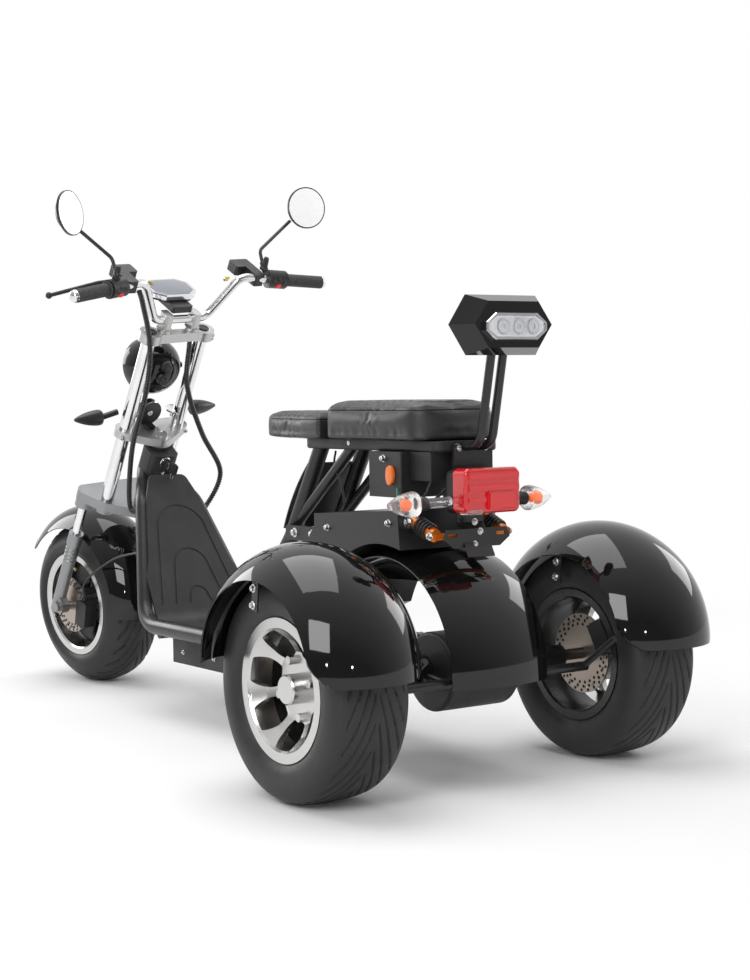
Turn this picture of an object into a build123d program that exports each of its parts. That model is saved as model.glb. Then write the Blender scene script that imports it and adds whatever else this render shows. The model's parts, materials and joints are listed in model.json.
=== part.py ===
from build123d import *
from math import atan2, cos, degrees, radians, sin, tan
import os

os.makedirs("parts", exist_ok=True)

# Three-wheeled electric scooter, in millimetres and degrees. X is forward, Y is to the left
# and Z is up. The datum is on the floor, midway between the foremost and rearmost points.

# Stance
wheelbase = 1664.0
half_track = 374.0
tyre_radius = 225.0
rear_guard_crown = 266.0
datum_to_rear_axle = (wheelbase + tyre_radius - rear_guard_crown) / 2

# Steering geometry
rake = 31.55
steering_turn = 7.5
spindle_offset = 76.0
spindle_drop = spindle_offset * tan(radians(rake))
steering_foot = wheelbase - spindle_offset / cos(radians(rake))

# The chassis frame stands on the floor under the rear axle. The steering frame has its origin
# on the steering axis at the height of the axles: X forward across the axis, Y left, Z up it.
chassis = Plane(origin=(-datum_to_rear_axle, 0, 0))
head_up = Vector(-sin(radians(rake)), 0, cos(radians(rake)))
head_forward = Vector(cos(radians(rake)), 0, sin(radians(rake)))
head_origin = chassis.from_local_coords(Vector(steering_foot, 0, tyre_radius))
steering = Plane(
    origin=head_origin,
    x_dir=head_forward.rotate(Axis((0, 0, 0), head_up), steering_turn),
    z_dir=head_up,
)


def on(base, plane):
    """The plane given in the base plane's own coordinates."""
    return Plane(base.location * plane.location)


def side(base, x, y, z):
    """A side view plane: its X forward, its Y up and its normal to the right."""
    return on(base, Plane(origin=(x, y, z), x_dir=(1, 0, 0), z_dir=(0, -1, 0)))


def back(base, x, y, z):
    """A rear view plane: its X to the right, its Y up and its normal to the rear."""
    return on(base, Plane(origin=(x, y, z), x_dir=(0, -1, 0), z_dir=(-1, 0, 0)))


def top(base, x, y, z):
    """A plan view plane."""
    return on(base, Plane(origin=(x, y, z)))


def tube(base, points, radius, bend=0.0):
    """A round bar along its centre points, with one bend radius."""
    places = [base.from_local_coords(Vector(*point)) for point in points]
    with BuildPart() as bar:
        with BuildLine() as run:
            if len(places) > 2:
                FilletPolyline(*places, radius=bend)
            else:
                Line(*places)
        with BuildSketch(Plane(origin=run.line @ 0, z_dir=run.line % 0)):
            Circle(radius)
        sweep(path=run.wire())
    return bar.part


def disc(plane, radius, thickness):
    """A round plate that stands on its plane."""
    with BuildPart() as plate:
        with BuildSketch(plane):
            Circle(radius)
        extrude(amount=thickness)
    return plate.part


def block(plane, width, height, thickness, corner=3.0):
    """A plate with rounded corners that stands on its plane."""
    with BuildPart() as plate:
        with BuildSketch(plane):
            RectangleRounded(width, height, corner)
        extrude(amount=thickness)
    return plate.part


def turned(plane, outline):
    """A solid turned about a plane's normal, its outline given as radius and height.

    A step of four numbers is an arc through its first pair to its second.
    """
    with BuildPart() as body:
        with BuildSketch(Plane(plane.origin, plane.x_dir, plane.x_dir.cross(plane.z_dir))):
            with BuildLine():
                here = outline[0]
                for step in outline[1:] + [outline[0]]:
                    if len(step) == 4:
                        ThreePointArc(here, step[:2], step[2:])
                        here = step[2:]
                    else:
                        Line(here, step)
                        here = step
            make_face()
        revolve(axis=Axis(plane.origin, plane.z_dir))
    return body.part


def outward_side(base, x, y, z, way):
    """A plane that faces sideways: left for way 1 and right for way -1, its X forward."""
    return on(base, Plane(origin=(x, y, z), x_dir=(1, 0, 0), z_dir=(0, way, 0)))


# Tyres, rims and brake discs
tyre_half_width = 88.0
bead_radius = 131.0
rim_lip_radius = 142.0
rim_half_width = 76.0
rim_flange = 5.7
barrel_wall = 8.7
bore_radius = 12.5
axle_radius = 12.0
hub_radius = 38.0
hub_face = 32.0
nut_circle = 57.0
nut_count = 4
window_count = 7
window_phase = -14.6
nut_phase = 17.0
nut_height = 14.0
window_outer = 118.0
window_inner = 68.0
cap_radius = 30.0
cap_end = 64.0
brake_disc_thickness = 4.0
fit_gap = 0.3

# Radius and half width of a tyre's sidewall, shoulder, shoulder curve and tread edge. The rear
# tyres are square shouldered and the front one is rounder.
tyre_sections = {
    "rear": ((181.0, tyre_half_width), (206.0, 82.0), (214.5, 75.0), (220.0, 62.0)),
    "front": ((160.0, 84.0), (180.0, 77.0), (202.0, 62.0), (215.0, 47.0)),
}

spindle = top(steering, spindle_offset, 0, -spindle_drop)
wheels = {
    "rear_left": (outward_side(chassis, 0, half_track, tyre_radius, 1), 0, True, -46.0, 86.0),
    "rear_right": (outward_side(chassis, 0, -half_track, tyre_radius, -1), 20, True, -46.0, 86.0),
    "front": (outward_side(spindle, 0, 0, 0, -1), 10, False, -82.0, 76.0),
}


for name, (hub, turn, capped, hub_back, brake_disc_radius) in wheels.items():
    bead_half = rim_half_width - rim_flange
    seat = bead_half - fit_gap
    wall, shoulder, curve, tread = tyre_sections["rear" if capped else "front"]
    with BuildPart() as tyre:
        add(
            turned(
                hub,
                [
                    (bead_radius, -seat),
                    (bead_radius, seat),
                    (rim_lip_radius + 2, seat),
                    wall + shoulder,
                    curve + tread,
                    (tyre_radius, 0, tread[0], -tread[1]),
                    (curve[0], -curve[1], shoulder[0], -shoulder[1]),
                    (wall[0], -wall[1], rim_lip_radius + 2, -seat),
                ],
            )
        )
    tyre.part.label = name + "_tyre"
    export_step(tyre.part, f"parts/{name}_tyre.step")

    barrel_outer = bead_radius - fit_gap
    barrel_inner = barrel_outer - barrel_wall
    nose = [
        (cap_radius, hub_face),
        (cap_radius, cap_end - 3),
        (cap_radius - 3, cap_end),
        (0, cap_end),
        (0, cap_end - 14),
        (bore_radius, cap_end - 14),
    ]
    if not capped:
        nose = [(cap_radius, hub_face), (cap_radius, cap_end), (bore_radius, cap_end)]
    with BuildPart() as rim:
        add(
            turned(
                hub,
                [
                    (bore_radius, hub_back),
                    (hub_radius, hub_back),
                    (hub_radius, hub_face - 12),
                    (74, hub_face - 12),
                    (99, 37),
                    (barrel_inner, 58),
                    (barrel_inner, 4 - rim_half_width),
                    (barrel_inner + 4, -rim_half_width),
                    (rim_lip_radius, -rim_half_width),
                    (rim_lip_radius, -bead_half),
                    (barrel_outer, -bead_half),
                    (barrel_outer, bead_half),
                    (rim_lip_radius, bead_half),
                    (rim_lip_radius, rim_half_width),
                    (barrel_inner, rim_half_width),
                    (window_outer, 71),
                    (96, 48),
                    (72, hub_face),
                ]
                + nose,
            )
        )
        with BuildSketch(on(hub, Plane.XY.offset(rim_half_width))):
            with BuildSketch(mode=Mode.PRIVATE) as window:
                with BuildLine():
                    half_outer, bulge, half_inner = 12.0, 19.0, 15.0
                    corner = Vector(window_outer, 0)
                    outer = [corner.rotate(Axis.Z, a) for a in (-half_outer, 0, half_outer)]
                    inner = [Vector(window_inner, 0).rotate(Axis.Z, a) for a in (half_inner, -half_inner)]
                    waist = [Vector(94, 0).rotate(Axis.Z, a) for a in (bulge, -bulge)]
                    ThreePointArc(*outer)
                    ThreePointArc(outer[2], waist[0], inner[0])
                    ThreePointArc(inner[0], (window_inner - 4, 0), inner[1])
                    ThreePointArc(inner[1], waist[1], outer[0])
                make_face()
                fillet(window.vertices(), 5)
            with PolarLocations(0, window_count, start_angle=window_phase + turn):
                add(window.sketch)
        extrude(amount=-rim_half_width - 10, mode=Mode.SUBTRACT)
        with BuildSketch(on(hub, Plane.XY.offset(hub_face))):
            with PolarLocations(nut_circle, nut_count, start_angle=nut_phase + turn):
                RegularPolygon(9, 6)
        extrude(amount=nut_height)
    rim.part.label = name + "_rim"
    export_step(rim.part, f"parts/{name}_rim.step")

    with BuildPart() as brake_disc:
        with BuildSketch(on(hub, Plane.XY.offset(hub_back))):
            Circle(brake_disc_radius)
            Circle(bore_radius, mode=Mode.SUBTRACT)
            with PolarLocations(brake_disc_radius - 12, 18):
                Circle(3.5, mode=Mode.SUBTRACT)
        extrude(amount=-brake_disc_thickness)
    brake_disc.part.label = name + "_brake_disc"
    export_step(brake_disc.part, f"parts/{name}_brake_disc.step")


# Mudguards: pressed bowls, turned about an axis across the scooter
guard_wall = 3.0


def bowl(hub, half_width, edge_radius, crown_radius, start_angle, sweep_angle):
    """A bowl guard whose section is an arc from edge to edge over its crown."""
    facing = hub.x_dir.rotate(Axis((0, 0, 0), hub.z_dir), start_angle)
    with BuildPart() as shell:
        with BuildSketch(Plane(hub.origin, facing, facing.cross(hub.z_dir))):
            with BuildLine():
                ThreePointArc(
                    (edge_radius, -half_width),
                    (crown_radius - guard_wall / 2, 0),
                    (edge_radius, half_width),
                )
            trace(line_width=guard_wall)
        revolve(axis=Axis(hub.origin, hub.z_dir), revolution_arc=sweep_angle)
    return shell.part


rear_guard_offset = 383.0
rear_guard_height = 262.0
rear_guard_depth = 68.0
flat_drop = 35.0
flat_shift = 25.0
flat_angle = degrees(atan2(flat_drop, flat_shift))
rear_guard_half_width = 129.0
rear_guard_corner = 60.0
for name, way in (("left_rear_guard", 1), ("right_rear_guard", -1)):
    with BuildPart() as rear_guard:
        end_crown = rear_guard_crown - flat_shift
        for shift, drop, crown, start, sweep_angle in (
            (flat_shift, 0, end_crown, 0, flat_angle),
            (0, flat_drop, end_crown + (flat_shift**2 + flat_drop**2) ** 0.5, flat_angle, 180 - 2 * flat_angle),
            (-flat_shift, 0, end_crown, 180 - flat_angle, flat_angle + 1),
        ):
            hub = side(chassis, shift, way * rear_guard_offset, rear_guard_height - drop)
            add(bowl(hub, rear_guard_half_width, crown - rear_guard_depth, crown, start, sweep_angle))
        straight = rear_guard_half_width - rear_guard_corner
        reach = rear_guard_half_width + 5
        for face in (-1, 1):
            with BuildSketch(back(chassis, -rear_guard_crown - 20, way * rear_guard_offset, rear_guard_height)):
                with BuildLine():
                    start = (face * straight, -12)
                    Polyline(
                        (face * rear_guard_half_width, rear_guard_corner - 8),
                        (face * reach, rear_guard_corner - 8),
                        (face * reach, -12),
                        start,
                        (face * straight, -8),
                    )
                    ThreePointArc(
                        (face * straight, -8),
                        (
                            face * (straight + rear_guard_corner * sin(radians(45))),
                            -8 + rear_guard_corner * (1 - cos(radians(45))),
                        ),
                        (face * rear_guard_half_width, rear_guard_corner - 8),
                    )
                make_face()
            extrude(amount=-160, mode=Mode.SUBTRACT)
    rear_guard.part.label = name
    export_step(rear_guard.part, f"parts/{name}.step")

centre_guard_place = (114.0, 221.0)
centre_guard_half_width = 122.0
centre_guard_edge = 235.0
centre_guard_crown = 258.0
with BuildPart() as centre_guard:
    hub = side(chassis, centre_guard_place[0], 0, centre_guard_place[1])
    add(bowl(hub, centre_guard_half_width, centre_guard_edge, centre_guard_crown, 40, 144))
centre_guard.part.label = "centre_rear_guard"
export_step(centre_guard.part, "parts/centre_rear_guard.step")

front_guard_half_width = 93.0
front_guard_edge = 214.0
front_guard_crown = 270.0
front_guard_start = 17.0
front_guard_lip = 11.0
lip_pivot = 44.0
with BuildPart() as front_guard:
    hub = side(spindle, 0, 0, 0)
    add(bowl(hub, front_guard_half_width, front_guard_edge, front_guard_crown, front_guard_start, 138))
    facing = hub.x_dir.rotate(Axis((0, 0, 0), hub.z_dir), front_guard_start)
    with BuildSketch(Plane(hub.origin, facing, facing.cross(hub.z_dir))):
        with BuildLine():
            ThreePointArc(
                (front_guard_edge, -front_guard_half_width),
                (front_guard_crown - guard_wall / 2, 0),
                (front_guard_edge, front_guard_half_width),
            )
        trace(line_width=guard_wall)
    revolve(
        axis=Axis(hub.origin + facing * (front_guard_crown + lip_pivot), hub.z_dir),
        revolution_arc=front_guard_lip,
    )
front_guard.part.label = "front_guard"
export_step(front_guard.part, "parts/front_guard.step")

# Main frame: side rails under the deck that sweep up to the head tube, cross tubes and the
# posts that carry the saddle
rail_radius = 20.0
rail_half_gauge = 157.0
rail_height = 222.0
rail_back = 250.0
rail_knee = (1100.0, rail_height)
rail_neck = (1256.0, 76.0, 520.0)
rail_end = (1345.0, 22.0, 598.0)
head_tube_radius = 27.0
head_tube_bore = 20.0
head_tube_foot = 388.0
head_tube_top = 516.0
post_radius = 18.0
post_half_gauge = 60.0
post_foot = (785.0, 214.0)
post_knee = (560.0, 470.0)
post_head = (420.0, 694.0)
strut_radius = 12.5
cross_tube_radius = 12.0
cross_tube_height = 205.0
pan_bottom = 675.0
box_bottom = 580.0
rear_box_bottom = 616.0

rails = [
    tube(
        chassis,
        [
            (rail_back, way * rail_half_gauge, rail_height),
            (rail_knee[0], way * rail_half_gauge, rail_height),
            (rail_neck[0], way * rail_neck[1], rail_neck[2]),
            (rail_end[0], way * rail_end[1], rail_end[2]),
        ],
        rail_radius,
        90,
    )
    for way in (1, -1)
]
posts = [
    tube(
        chassis,
        [(x, way * post_half_gauge, z) for x, z in (post_foot, post_knee, post_head)],
        post_radius,
        60,
    )
    for way in (1, -1)
]
struts = [
    tube(
        chassis,
        [(540, way * post_half_gauge, 500), (292, way * post_half_gauge, 690)],
        strut_radius,
    )
    for way in (1, -1)
]
cross_tubes = [
    tube(chassis, [(x, -half, z), (x, half, z)], cross_tube_radius)
    for x, half, z in (
        (rail_back + 12, rail_half_gauge, cross_tube_height),
        (post_foot[0], rail_half_gauge, cross_tube_height),
        (1030, rail_half_gauge, cross_tube_height),
        (post_knee[0], post_half_gauge, post_knee[1]),
    )
]
with BuildPart() as main_frame:
    add(rails + posts + struts + cross_tubes)
    for way in (1, -1):
        add(block(outward_side(chassis, 475, way * 74, 482, way), 148, 34, 10, 6))
    with BuildSketch(top(chassis, 400, 0, pan_bottom)):
        Rectangle(500, 300)
    extrude(amount=60, mode=Mode.SUBTRACT)
    add(disc(top(steering, 0, 0, head_tube_foot), head_tube_radius, head_tube_top - head_tube_foot))
    with BuildSketch(top(steering, 0, 0, head_tube_foot - 40)):
        Circle(head_tube_bore)
    extrude(amount=head_tube_top - head_tube_foot + 80, mode=Mode.SUBTRACT)
main_frame.part.label = "main_frame"
export_step(main_frame.part, "parts/main_frame.step")

# Leg shield and foot deck: one moulding, a flat deck that curves up into a tapered shield
deck_wall = 5.0
deck_height = rail_height
deck_back = 800.0
deck_half_width = rail_half_gauge - rail_radius - 2.0
shield_offset = rail_radius + fit_gap + deck_wall / 2
shield_slope = Vector(rail_neck[0] - rail_knee[0], rail_neck[2] - rail_knee[1]).normalized()
shield_foot = Vector(*rail_knee) + shield_slope.rotate(Axis.Z, 90) * shield_offset
shield_foot += shield_slope * ((deck_height - shield_foot.Y) / shield_slope.Y)
shield_head = shield_foot + shield_slope * 440
face_foot = Vector(*rail_knee) + shield_slope.rotate(Axis.Z, 90) * (shield_offset + deck_wall / 2)
shield_face = on(
    chassis,
    Plane(
        origin=(face_foot.X, 0, face_foot.Y),
        x_dir=(0, -1, 0),
        z_dir=(-shield_slope.Y, 0, shield_slope.X),
    ),
)
# Pressed grooves, one arch inside the other: apex, shoulder height and half width, foot half width
arch_foot = 38.0
arch_groove = 7.0
arches = ((309.0, 245.0, 70.0, 112.0), (186.0, 145.0, 48.0, 72.0), (80.0, 56.0, 26.0, 32.0))
with BuildPart() as footboard:
    with BuildSketch(side(chassis, 0, 150, 0)):
        with BuildLine():
            FilletPolyline((deck_back, deck_height), shield_foot, shield_head, radius=55)
        trace(line_width=deck_wall)
    extrude(amount=300)
    with BuildSketch(back(chassis, 600, 0, 0)) as outline:
        with BuildLine():
            Polyline(
                (-deck_half_width, 150),
                (-deck_half_width, 335),
                (-118, 375),
                (-79, 526),
                (-52, 588),
                (52, 588),
                (79, 526),
                (118, 375),
                (deck_half_width, 335),
                (deck_half_width, 150),
                close=True,
            )
        make_face()
        fillet(outline.vertices().group_by(Axis.Z)[-1], 20)
    extrude(amount=-800, mode=Mode.INTERSECT)
    for apex, shoulder, waist, foot in arches:
        with BuildSketch(shield_face):
            with BuildLine():
                Line((-foot, arch_foot), (-waist, shoulder))
                ThreePointArc((-waist, shoulder), (0, apex), (waist, shoulder))
                Line((waist, shoulder), (foot, arch_foot))
            trace(line_width=arch_groove)
        extrude(amount=-2, mode=Mode.SUBTRACT)
footboard.part.label = "footboard"
export_step(footboard.part, "parts/footboard.step")

# Neck cover: a moulding round the head tube that holds the key switch
neck = Plane(origin=head_origin, x_dir=head_forward, z_dir=head_up)
neck_cover_foot = 440.0
neck_cover_top = 514.0
neck_cover_back = -52.0
neck_cover_front = 20.0
with BuildPart() as neck_cover:
    add(
        block(
            top(neck, (neck_cover_back + neck_cover_front) / 2, 0, neck_cover_foot),
            neck_cover_front - neck_cover_back,
            80,
            neck_cover_top - neck_cover_foot,
            18,
        )
    )
    add(disc(back(neck, neck_cover_back + 1, 0, 496), 14, 11))
    with BuildSketch(top(neck, 0, 0, neck_cover_foot - 1)):
        Circle(head_tube_radius + fit_gap)
        with Locations((neck_cover_front, 0)):
            Rectangle(2 * neck_cover_front, 2 * (head_tube_radius - 3))
    extrude(amount=neck_cover_top - neck_cover_foot + 2, mode=Mode.SUBTRACT)
    for way in (1, -1):
        add(
            tube(
                chassis,
                [
                    (rail_neck[0], way * rail_neck[1], rail_neck[2]),
                    (rail_end[0], way * rail_end[1], rail_end[2]),
                ],
                rail_radius + fit_gap,
            ),
            mode=Mode.SUBTRACT,
        )
neck_cover.part.label = "neck_cover"
export_step(neck_cover.part, "parts/neck_cover.step")

battery_half_width = 128.0
battery_top = cross_tube_height - cross_tube_radius - fit_gap
battery_bottom = 135.0
battery_back = 480.0
battery_front = 1018.0
with BuildPart() as battery_box:
    with BuildSketch(top(chassis, (battery_back + battery_front) / 2, 0, battery_bottom)):
        RectangleRounded(battery_front - battery_back, 2 * battery_half_width, 6)
    extrude(amount=battery_top - battery_bottom)
battery_box.part.label = "battery_box"
export_step(battery_box.part, "parts/battery_box.step")

# Rear carriage: two arms from the frame to the axle, the axle beam and the drive motor
arm_half_gauge = 118.0
beam_radius = 24.0
beam_half_length = 262.0
motor_radius = 82.0
motor_half_length = 88.0
arm_pivot = (330.0, 239.0)
pivot_reach = rail_half_gauge - rail_radius
with BuildPart() as swing_arm:
    for way in (1, -1):
        add(
            tube(
                chassis,
                [(arm_pivot[0], way * arm_half_gauge, arm_pivot[1]), (0, way * arm_half_gauge, tyre_radius)],
                18,
            )
        )
        add(disc(side(chassis, 0, way * arm_half_gauge + 14, tyre_radius), 38, 28))
    add(tube(chassis, [(arm_pivot[0], y, arm_pivot[1]) for y in (-pivot_reach, pivot_reach)], 16))
    with BuildSketch(side(chassis, 0, 200, tyre_radius)):
        Circle(beam_radius + fit_gap)
    extrude(amount=400, mode=Mode.SUBTRACT)
swing_arm.part.label = "swing_arm"
export_step(swing_arm.part, "parts/swing_arm.step")

with BuildPart() as rear_axle:
    add(tube(chassis, [(0, -beam_half_length, tyre_radius), (0, beam_half_length, tyre_radius)], beam_radius))
    reach = half_track + 40
    add(tube(chassis, [(0, -reach, tyre_radius), (0, reach, tyre_radius)], axle_radius))
    with BuildSketch(side(chassis, 0, 100, tyre_radius)):
        Circle(motor_radius - 6)
    extrude(amount=200, mode=Mode.SUBTRACT)
rear_axle.part.label = "rear_axle"
export_step(rear_axle.part, "parts/rear_axle.step")

with BuildPart() as drive_motor:
    add(disc(side(chassis, 0, motor_half_length, tyre_radius), motor_radius, 2 * motor_half_length))
    fillet(drive_motor.edges().filter_by(GeomType.CIRCLE), 8)
    with BuildSketch(side(chassis, 0, motor_half_length + 12, tyre_radius)):
        Circle(beam_radius - 2)
    extrude(amount=2 * motor_half_length + 24)
drive_motor.part.label = "drive_motor"
export_step(drive_motor.part, "parts/drive_motor.step")

shock_eye = (41.0, 92.0, 531.0)
shock_foot = (-26.0, 88.0, 506.0)
with BuildPart() as rear_shocks:
    for way in (1, -1):
        ends = [(x, way * y, z) for x, y, z in (shock_eye, shock_foot)]
        add(tube(chassis, ends, 14))
    add(tube(chassis, [(shock_foot[0] + 4, y, shock_foot[2] - 4) for y in (-84, 84)], 8))
rear_shocks.part.label = "rear_shocks"
export_step(rear_shocks.part, "parts/rear_shocks.step")

# Rear body: the case behind the posts and the electrics box under the saddle
case_half_width = 128.0
case_gap = 5.0
case_top_front = (362.0, 536.0)
case_top_back = (50.0, 556.0)
with BuildPart() as rear_case:
    with BuildSketch(side(chassis, 0, case_half_width, 0)):
        with BuildLine():
            Polyline((362, 510), case_top_front, case_top_back, (40, 440), (420, 300), (420, 440), close=True)
        make_face()
        with Locations(centre_guard_place):
            Circle(centre_guard_crown + case_gap, mode=Mode.SUBTRACT)
    extrude(amount=2 * case_half_width)
rear_case.part.label = "rear_case"
export_step(rear_case.part, "parts/rear_case.step")

with BuildPart() as electrics_box:
    add(block(top(chassis, 125, 0, box_bottom), 116, 210, pan_bottom - box_bottom))
    add(block(top(chassis, 31.5, 0, rear_box_bottom), 72, 164, pan_bottom - rear_box_bottom))
    for way in (1, -1):
        add(disc(top(chassis, 125, way * 60, case_top_back[1] - 3.5), 10, 32))
electrics_box.part.label = "electrics_box"
export_step(electrics_box.part, "parts/electrics_box.step")

# Saddle: a pan on the posts with two cushions
pan_thickness = 22.0
pan_back = -26.5
pan_front = 470.0
pan_half_width = 82.0
cushion_bottom = pan_bottom + pan_thickness
with BuildPart() as seat_pan:
    add(
        block(
            top(chassis, (pan_front + pan_back) / 2, 0, pan_bottom),
            pan_front - pan_back,
            2 * pan_half_width,
            pan_thickness,
            20,
        )
    )
    fillet(seat_pan.faces().sort_by(Axis.Z)[0].edges(), 6)
seat_pan.part.label = "seat_pan"
export_step(seat_pan.part, "parts/seat_pan.step")

# Sheet in front of the saddle posts, curved with them
seat_cover_half_width = 66.0
with BuildPart() as seat_front_cover:
    with BuildSketch(side(chassis, 0, seat_cover_half_width, 0)):
        with BuildLine():
            ThreePointArc((478, 640), (549, 556), (586, 488))
        trace(line_width=3)
    extrude(amount=2 * seat_cover_half_width)
seat_front_cover.part.label = "seat_front_cover"
export_step(seat_front_cover.part, "parts/seat_front_cover.step")

saddle_joint = 368.0
front_saddle_top = 752.0
rear_saddle_top = 776.0
saddle_half_width = 109.0
nose_plan = [(saddle_joint + 2, saddle_half_width), (440, 108), (560, 84), (640, 66), (684, 45), (706, 22)]
with BuildPart() as front_saddle:
    with BuildSketch(top(chassis, 0, 0, cushion_bottom)):
        with BuildLine():
            Polyline(*nose_plan, *[(x, -y) for x, y in reversed(nose_plan)], close=True)
        make_face()
    extrude(amount=front_saddle_top - cushion_bottom)
    fillet(front_saddle.faces().sort_by(Axis.Z)[-1].edges(), 14)
front_saddle.part.label = "front_saddle"
export_step(front_saddle.part, "parts/front_saddle.step")

with BuildPart() as rear_saddle:
    add(
        block(
            top(chassis, saddle_joint / 2, 0, cushion_bottom),
            saddle_joint,
            2 * saddle_half_width,
            rear_saddle_top - cushion_bottom,
            40,
        )
    )
    fillet(rear_saddle.faces().sort_by(Axis.Z)[-1].edges(), 24)
rear_saddle.part.label = "rear_saddle"
export_step(rear_saddle.part, "parts/rear_saddle.step")

# Backrest: twin bent tubes, a faceted shell and its lamp
backrest_tube_radius = 9.0
mount_plate_x = -27.0
mount_plate_wall = 5.0
backrest_run = [(mount_plate_x - mount_plate_wall - 3, 15, 686), (-84, 15, 690), (-126, 15, 884)]
backrest_centre = (-136.0, 930.0)
with BuildPart() as backrest_posts:
    for way in (1, -1):
        add(tube(chassis, [(x, way * y, z) for x, y, z in backrest_run], backrest_tube_radius, 34))
    add(block(back(chassis, mount_plate_x, 0, 645), 88, 90, mount_plate_wall, 2))
    add(block(back(chassis, mount_plate_x - mount_plate_wall, 0, 675), 88, 30, 3, 2))
backrest_posts.part.label = "backrest_posts"
export_step(backrest_posts.part, "parts/backrest_posts.step")

with BuildPart() as backrest_shell:
    for offset_x, half_width, slant, half_height in (
        (42, 92, 60, 50),
        (0, 132, 90, 60),
        (-42, 98, 64, 46),
    ):
        with BuildSketch(back(chassis, backrest_centre[0] + offset_x, 0, backrest_centre[1])):
            with BuildLine():
                Polyline(
                    (-half_width, 0),
                    (-slant, half_height),
                    (slant, half_height),
                    (half_width, 0),
                    (slant, -half_height),
                    (-slant, -half_height),
                    close=True,
                )
            make_face()
    loft(ruled=True)
    for way in (1, -1):
        add(
            tube(chassis, [(x, way * y, z) for x, y, z in backrest_run], backrest_tube_radius, 34),
            mode=Mode.SUBTRACT,
        )
backrest_shell.part.label = "backrest_shell"
export_step(backrest_shell.part, "parts/backrest_shell.step")

with BuildPart() as backrest_lamp:
    with BuildSketch(back(chassis, backrest_centre[0] - 42, 0, backrest_centre[1] - 4)):
        with BuildLine():
            Polyline(
                (-74, 0), (-74, 10), (-58, 24), (58, 24), (74, 10), (74, -10), (58, -24), (-58, -24), (-74, -10),
                close=True,
            )
        make_face()
    extrude(amount=8)
backrest_lamp.part.label = "backrest_lamp"
export_step(backrest_lamp.part, "parts/backrest_lamp.step")

# Tail lamp, rear indicators and the number plate bracket
lamp_plate_x = mount_plate_x - mount_plate_wall
lamp_base_depth = 33.0
lamp_base_half_width = 62.0
lamp_base_z = 595.0
lamp_centre_z = 598.0
with BuildPart() as tail_lamp_base:
    add(block(back(chassis, lamp_plate_x, 0, lamp_base_z), 2 * lamp_base_half_width, 90, lamp_base_depth, 14))
tail_lamp_base.part.label = "tail_lamp_base"
export_step(tail_lamp_base.part, "parts/tail_lamp_base.step")

with BuildPart() as tail_lamp_lens:
    add(block(back(chassis, lamp_plate_x - lamp_base_depth, 0, lamp_centre_z), 142, 92, 42, 14))
    fillet(tail_lamp_lens.faces().sort_by(Axis.X)[0].edges(), 8)
tail_lamp_lens.part.label = "tail_lamp_lens"
export_step(tail_lamp_lens.part, "parts/tail_lamp_lens.step")

with BuildPart() as rear_indicators:
    for way in (1, -1):
        add(tube(chassis, [(-46, way * (lamp_base_half_width + 1.5), 577), (-34, way * 148, 574)], 9))
        add(
            turned(
                outward_side(chassis, -34, way * 146, 573, way),
                [(0, 0), (26, 0), (27, 6), (17, 42, 5, 64), (0, 67)],
            )
        )
rear_indicators.part.label = "rear_indicators"
export_step(rear_indicators.part, "parts/rear_indicators.step")

with BuildPart() as plate_bracket:
    with BuildSketch(side(chassis, 0, 34, 0)):
        with BuildLine():
            Polyline((mount_plate_x - 1.5, 599.5), (mount_plate_x - 1.5, 530), (-66, 461))
        trace(line_width=3)
    extrude(amount=68)
    with BuildSketch(back(chassis, -48, 0, 500)):
        with BuildLine():
            Polyline((-34, 18), (-78, 18), (-86, -2), (-60, -20), (60, -20), (86, -2), (78, 18), (34, 18), close=True)
        make_face()
        with Locations((-62, 6), (62, 6)):
            SlotOverall(24, 7, mode=Mode.SUBTRACT)
    extrude(amount=3)
plate_bracket.part.label = "plate_bracket"
export_step(plate_bracket.part, "parts/plate_bracket.step")

# Guard stays: a cross bar behind the motor and brackets up to the guards
with BuildPart() as guard_stays:
    add(tube(chassis, [(-98, -250, 216), (-98, 250, 216)], 10))
    for way in (1, -1):
        add(tube(chassis, [(-98, way * 118, 216), (-38.5, way * 118, 222)], 8))
        add(tube(chassis, [(-98, way * 244, 216), (-196, way * 244, 284)], 7))
guard_stays.part.label = "guard_stays"
export_step(guard_stays.part, "parts/guard_stays.step")


def caliper(wheel, reach, angle):
    """A brake caliper that straddles the disc's edge, its middle at a reach from the hub."""
    hub, hub_back, disc_radius = wheel[0], wheel[3], wheel[4]
    disc_plane = on(hub, Plane.XY.offset(hub_back - brake_disc_thickness / 2))
    with BuildPart() as body:
        with BuildSketch(disc_plane):
            with PolarLocations(reach, 1, start_angle=angle):
                RectangleRounded(46, 72, 8)
        extrude(amount=18, both=True)
        with BuildSketch(disc_plane):
            Circle(disc_radius + 4)
        extrude(amount=brake_disc_thickness / 2 + 2.5, both=True, mode=Mode.SUBTRACT)
    return body.part


with BuildPart() as rear_calipers:
    add(caliper(wheels["rear_left"], 86, -150))
    add(caliper(wheels["rear_right"], 86, 150))
rear_calipers.part.label = "rear_calipers"
export_step(rear_calipers.part, "parts/rear_calipers.step")

# Fork: stem, clamps, upper tubes, offset lower legs
fork_tube_radius = 18.3
fork_tube_forward = 49.0
fork_half_gauge = 82.0
leg_forward = 97.0
leg_half_gauge = 115.0
stem_radius = 16.0
middle_clamp = (526.0, 22.0)
top_clamp_bottom = 812.0
top_clamp_height = 26.0
crown_bottom = 300.0
crown_height = 27.0
riser_offset = 44.0
bar_radius = 11.0
bar_bore = bar_radius + 0.1
bar_seat = (52.0, 869.0)
stanchion_radius = 12.0

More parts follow.
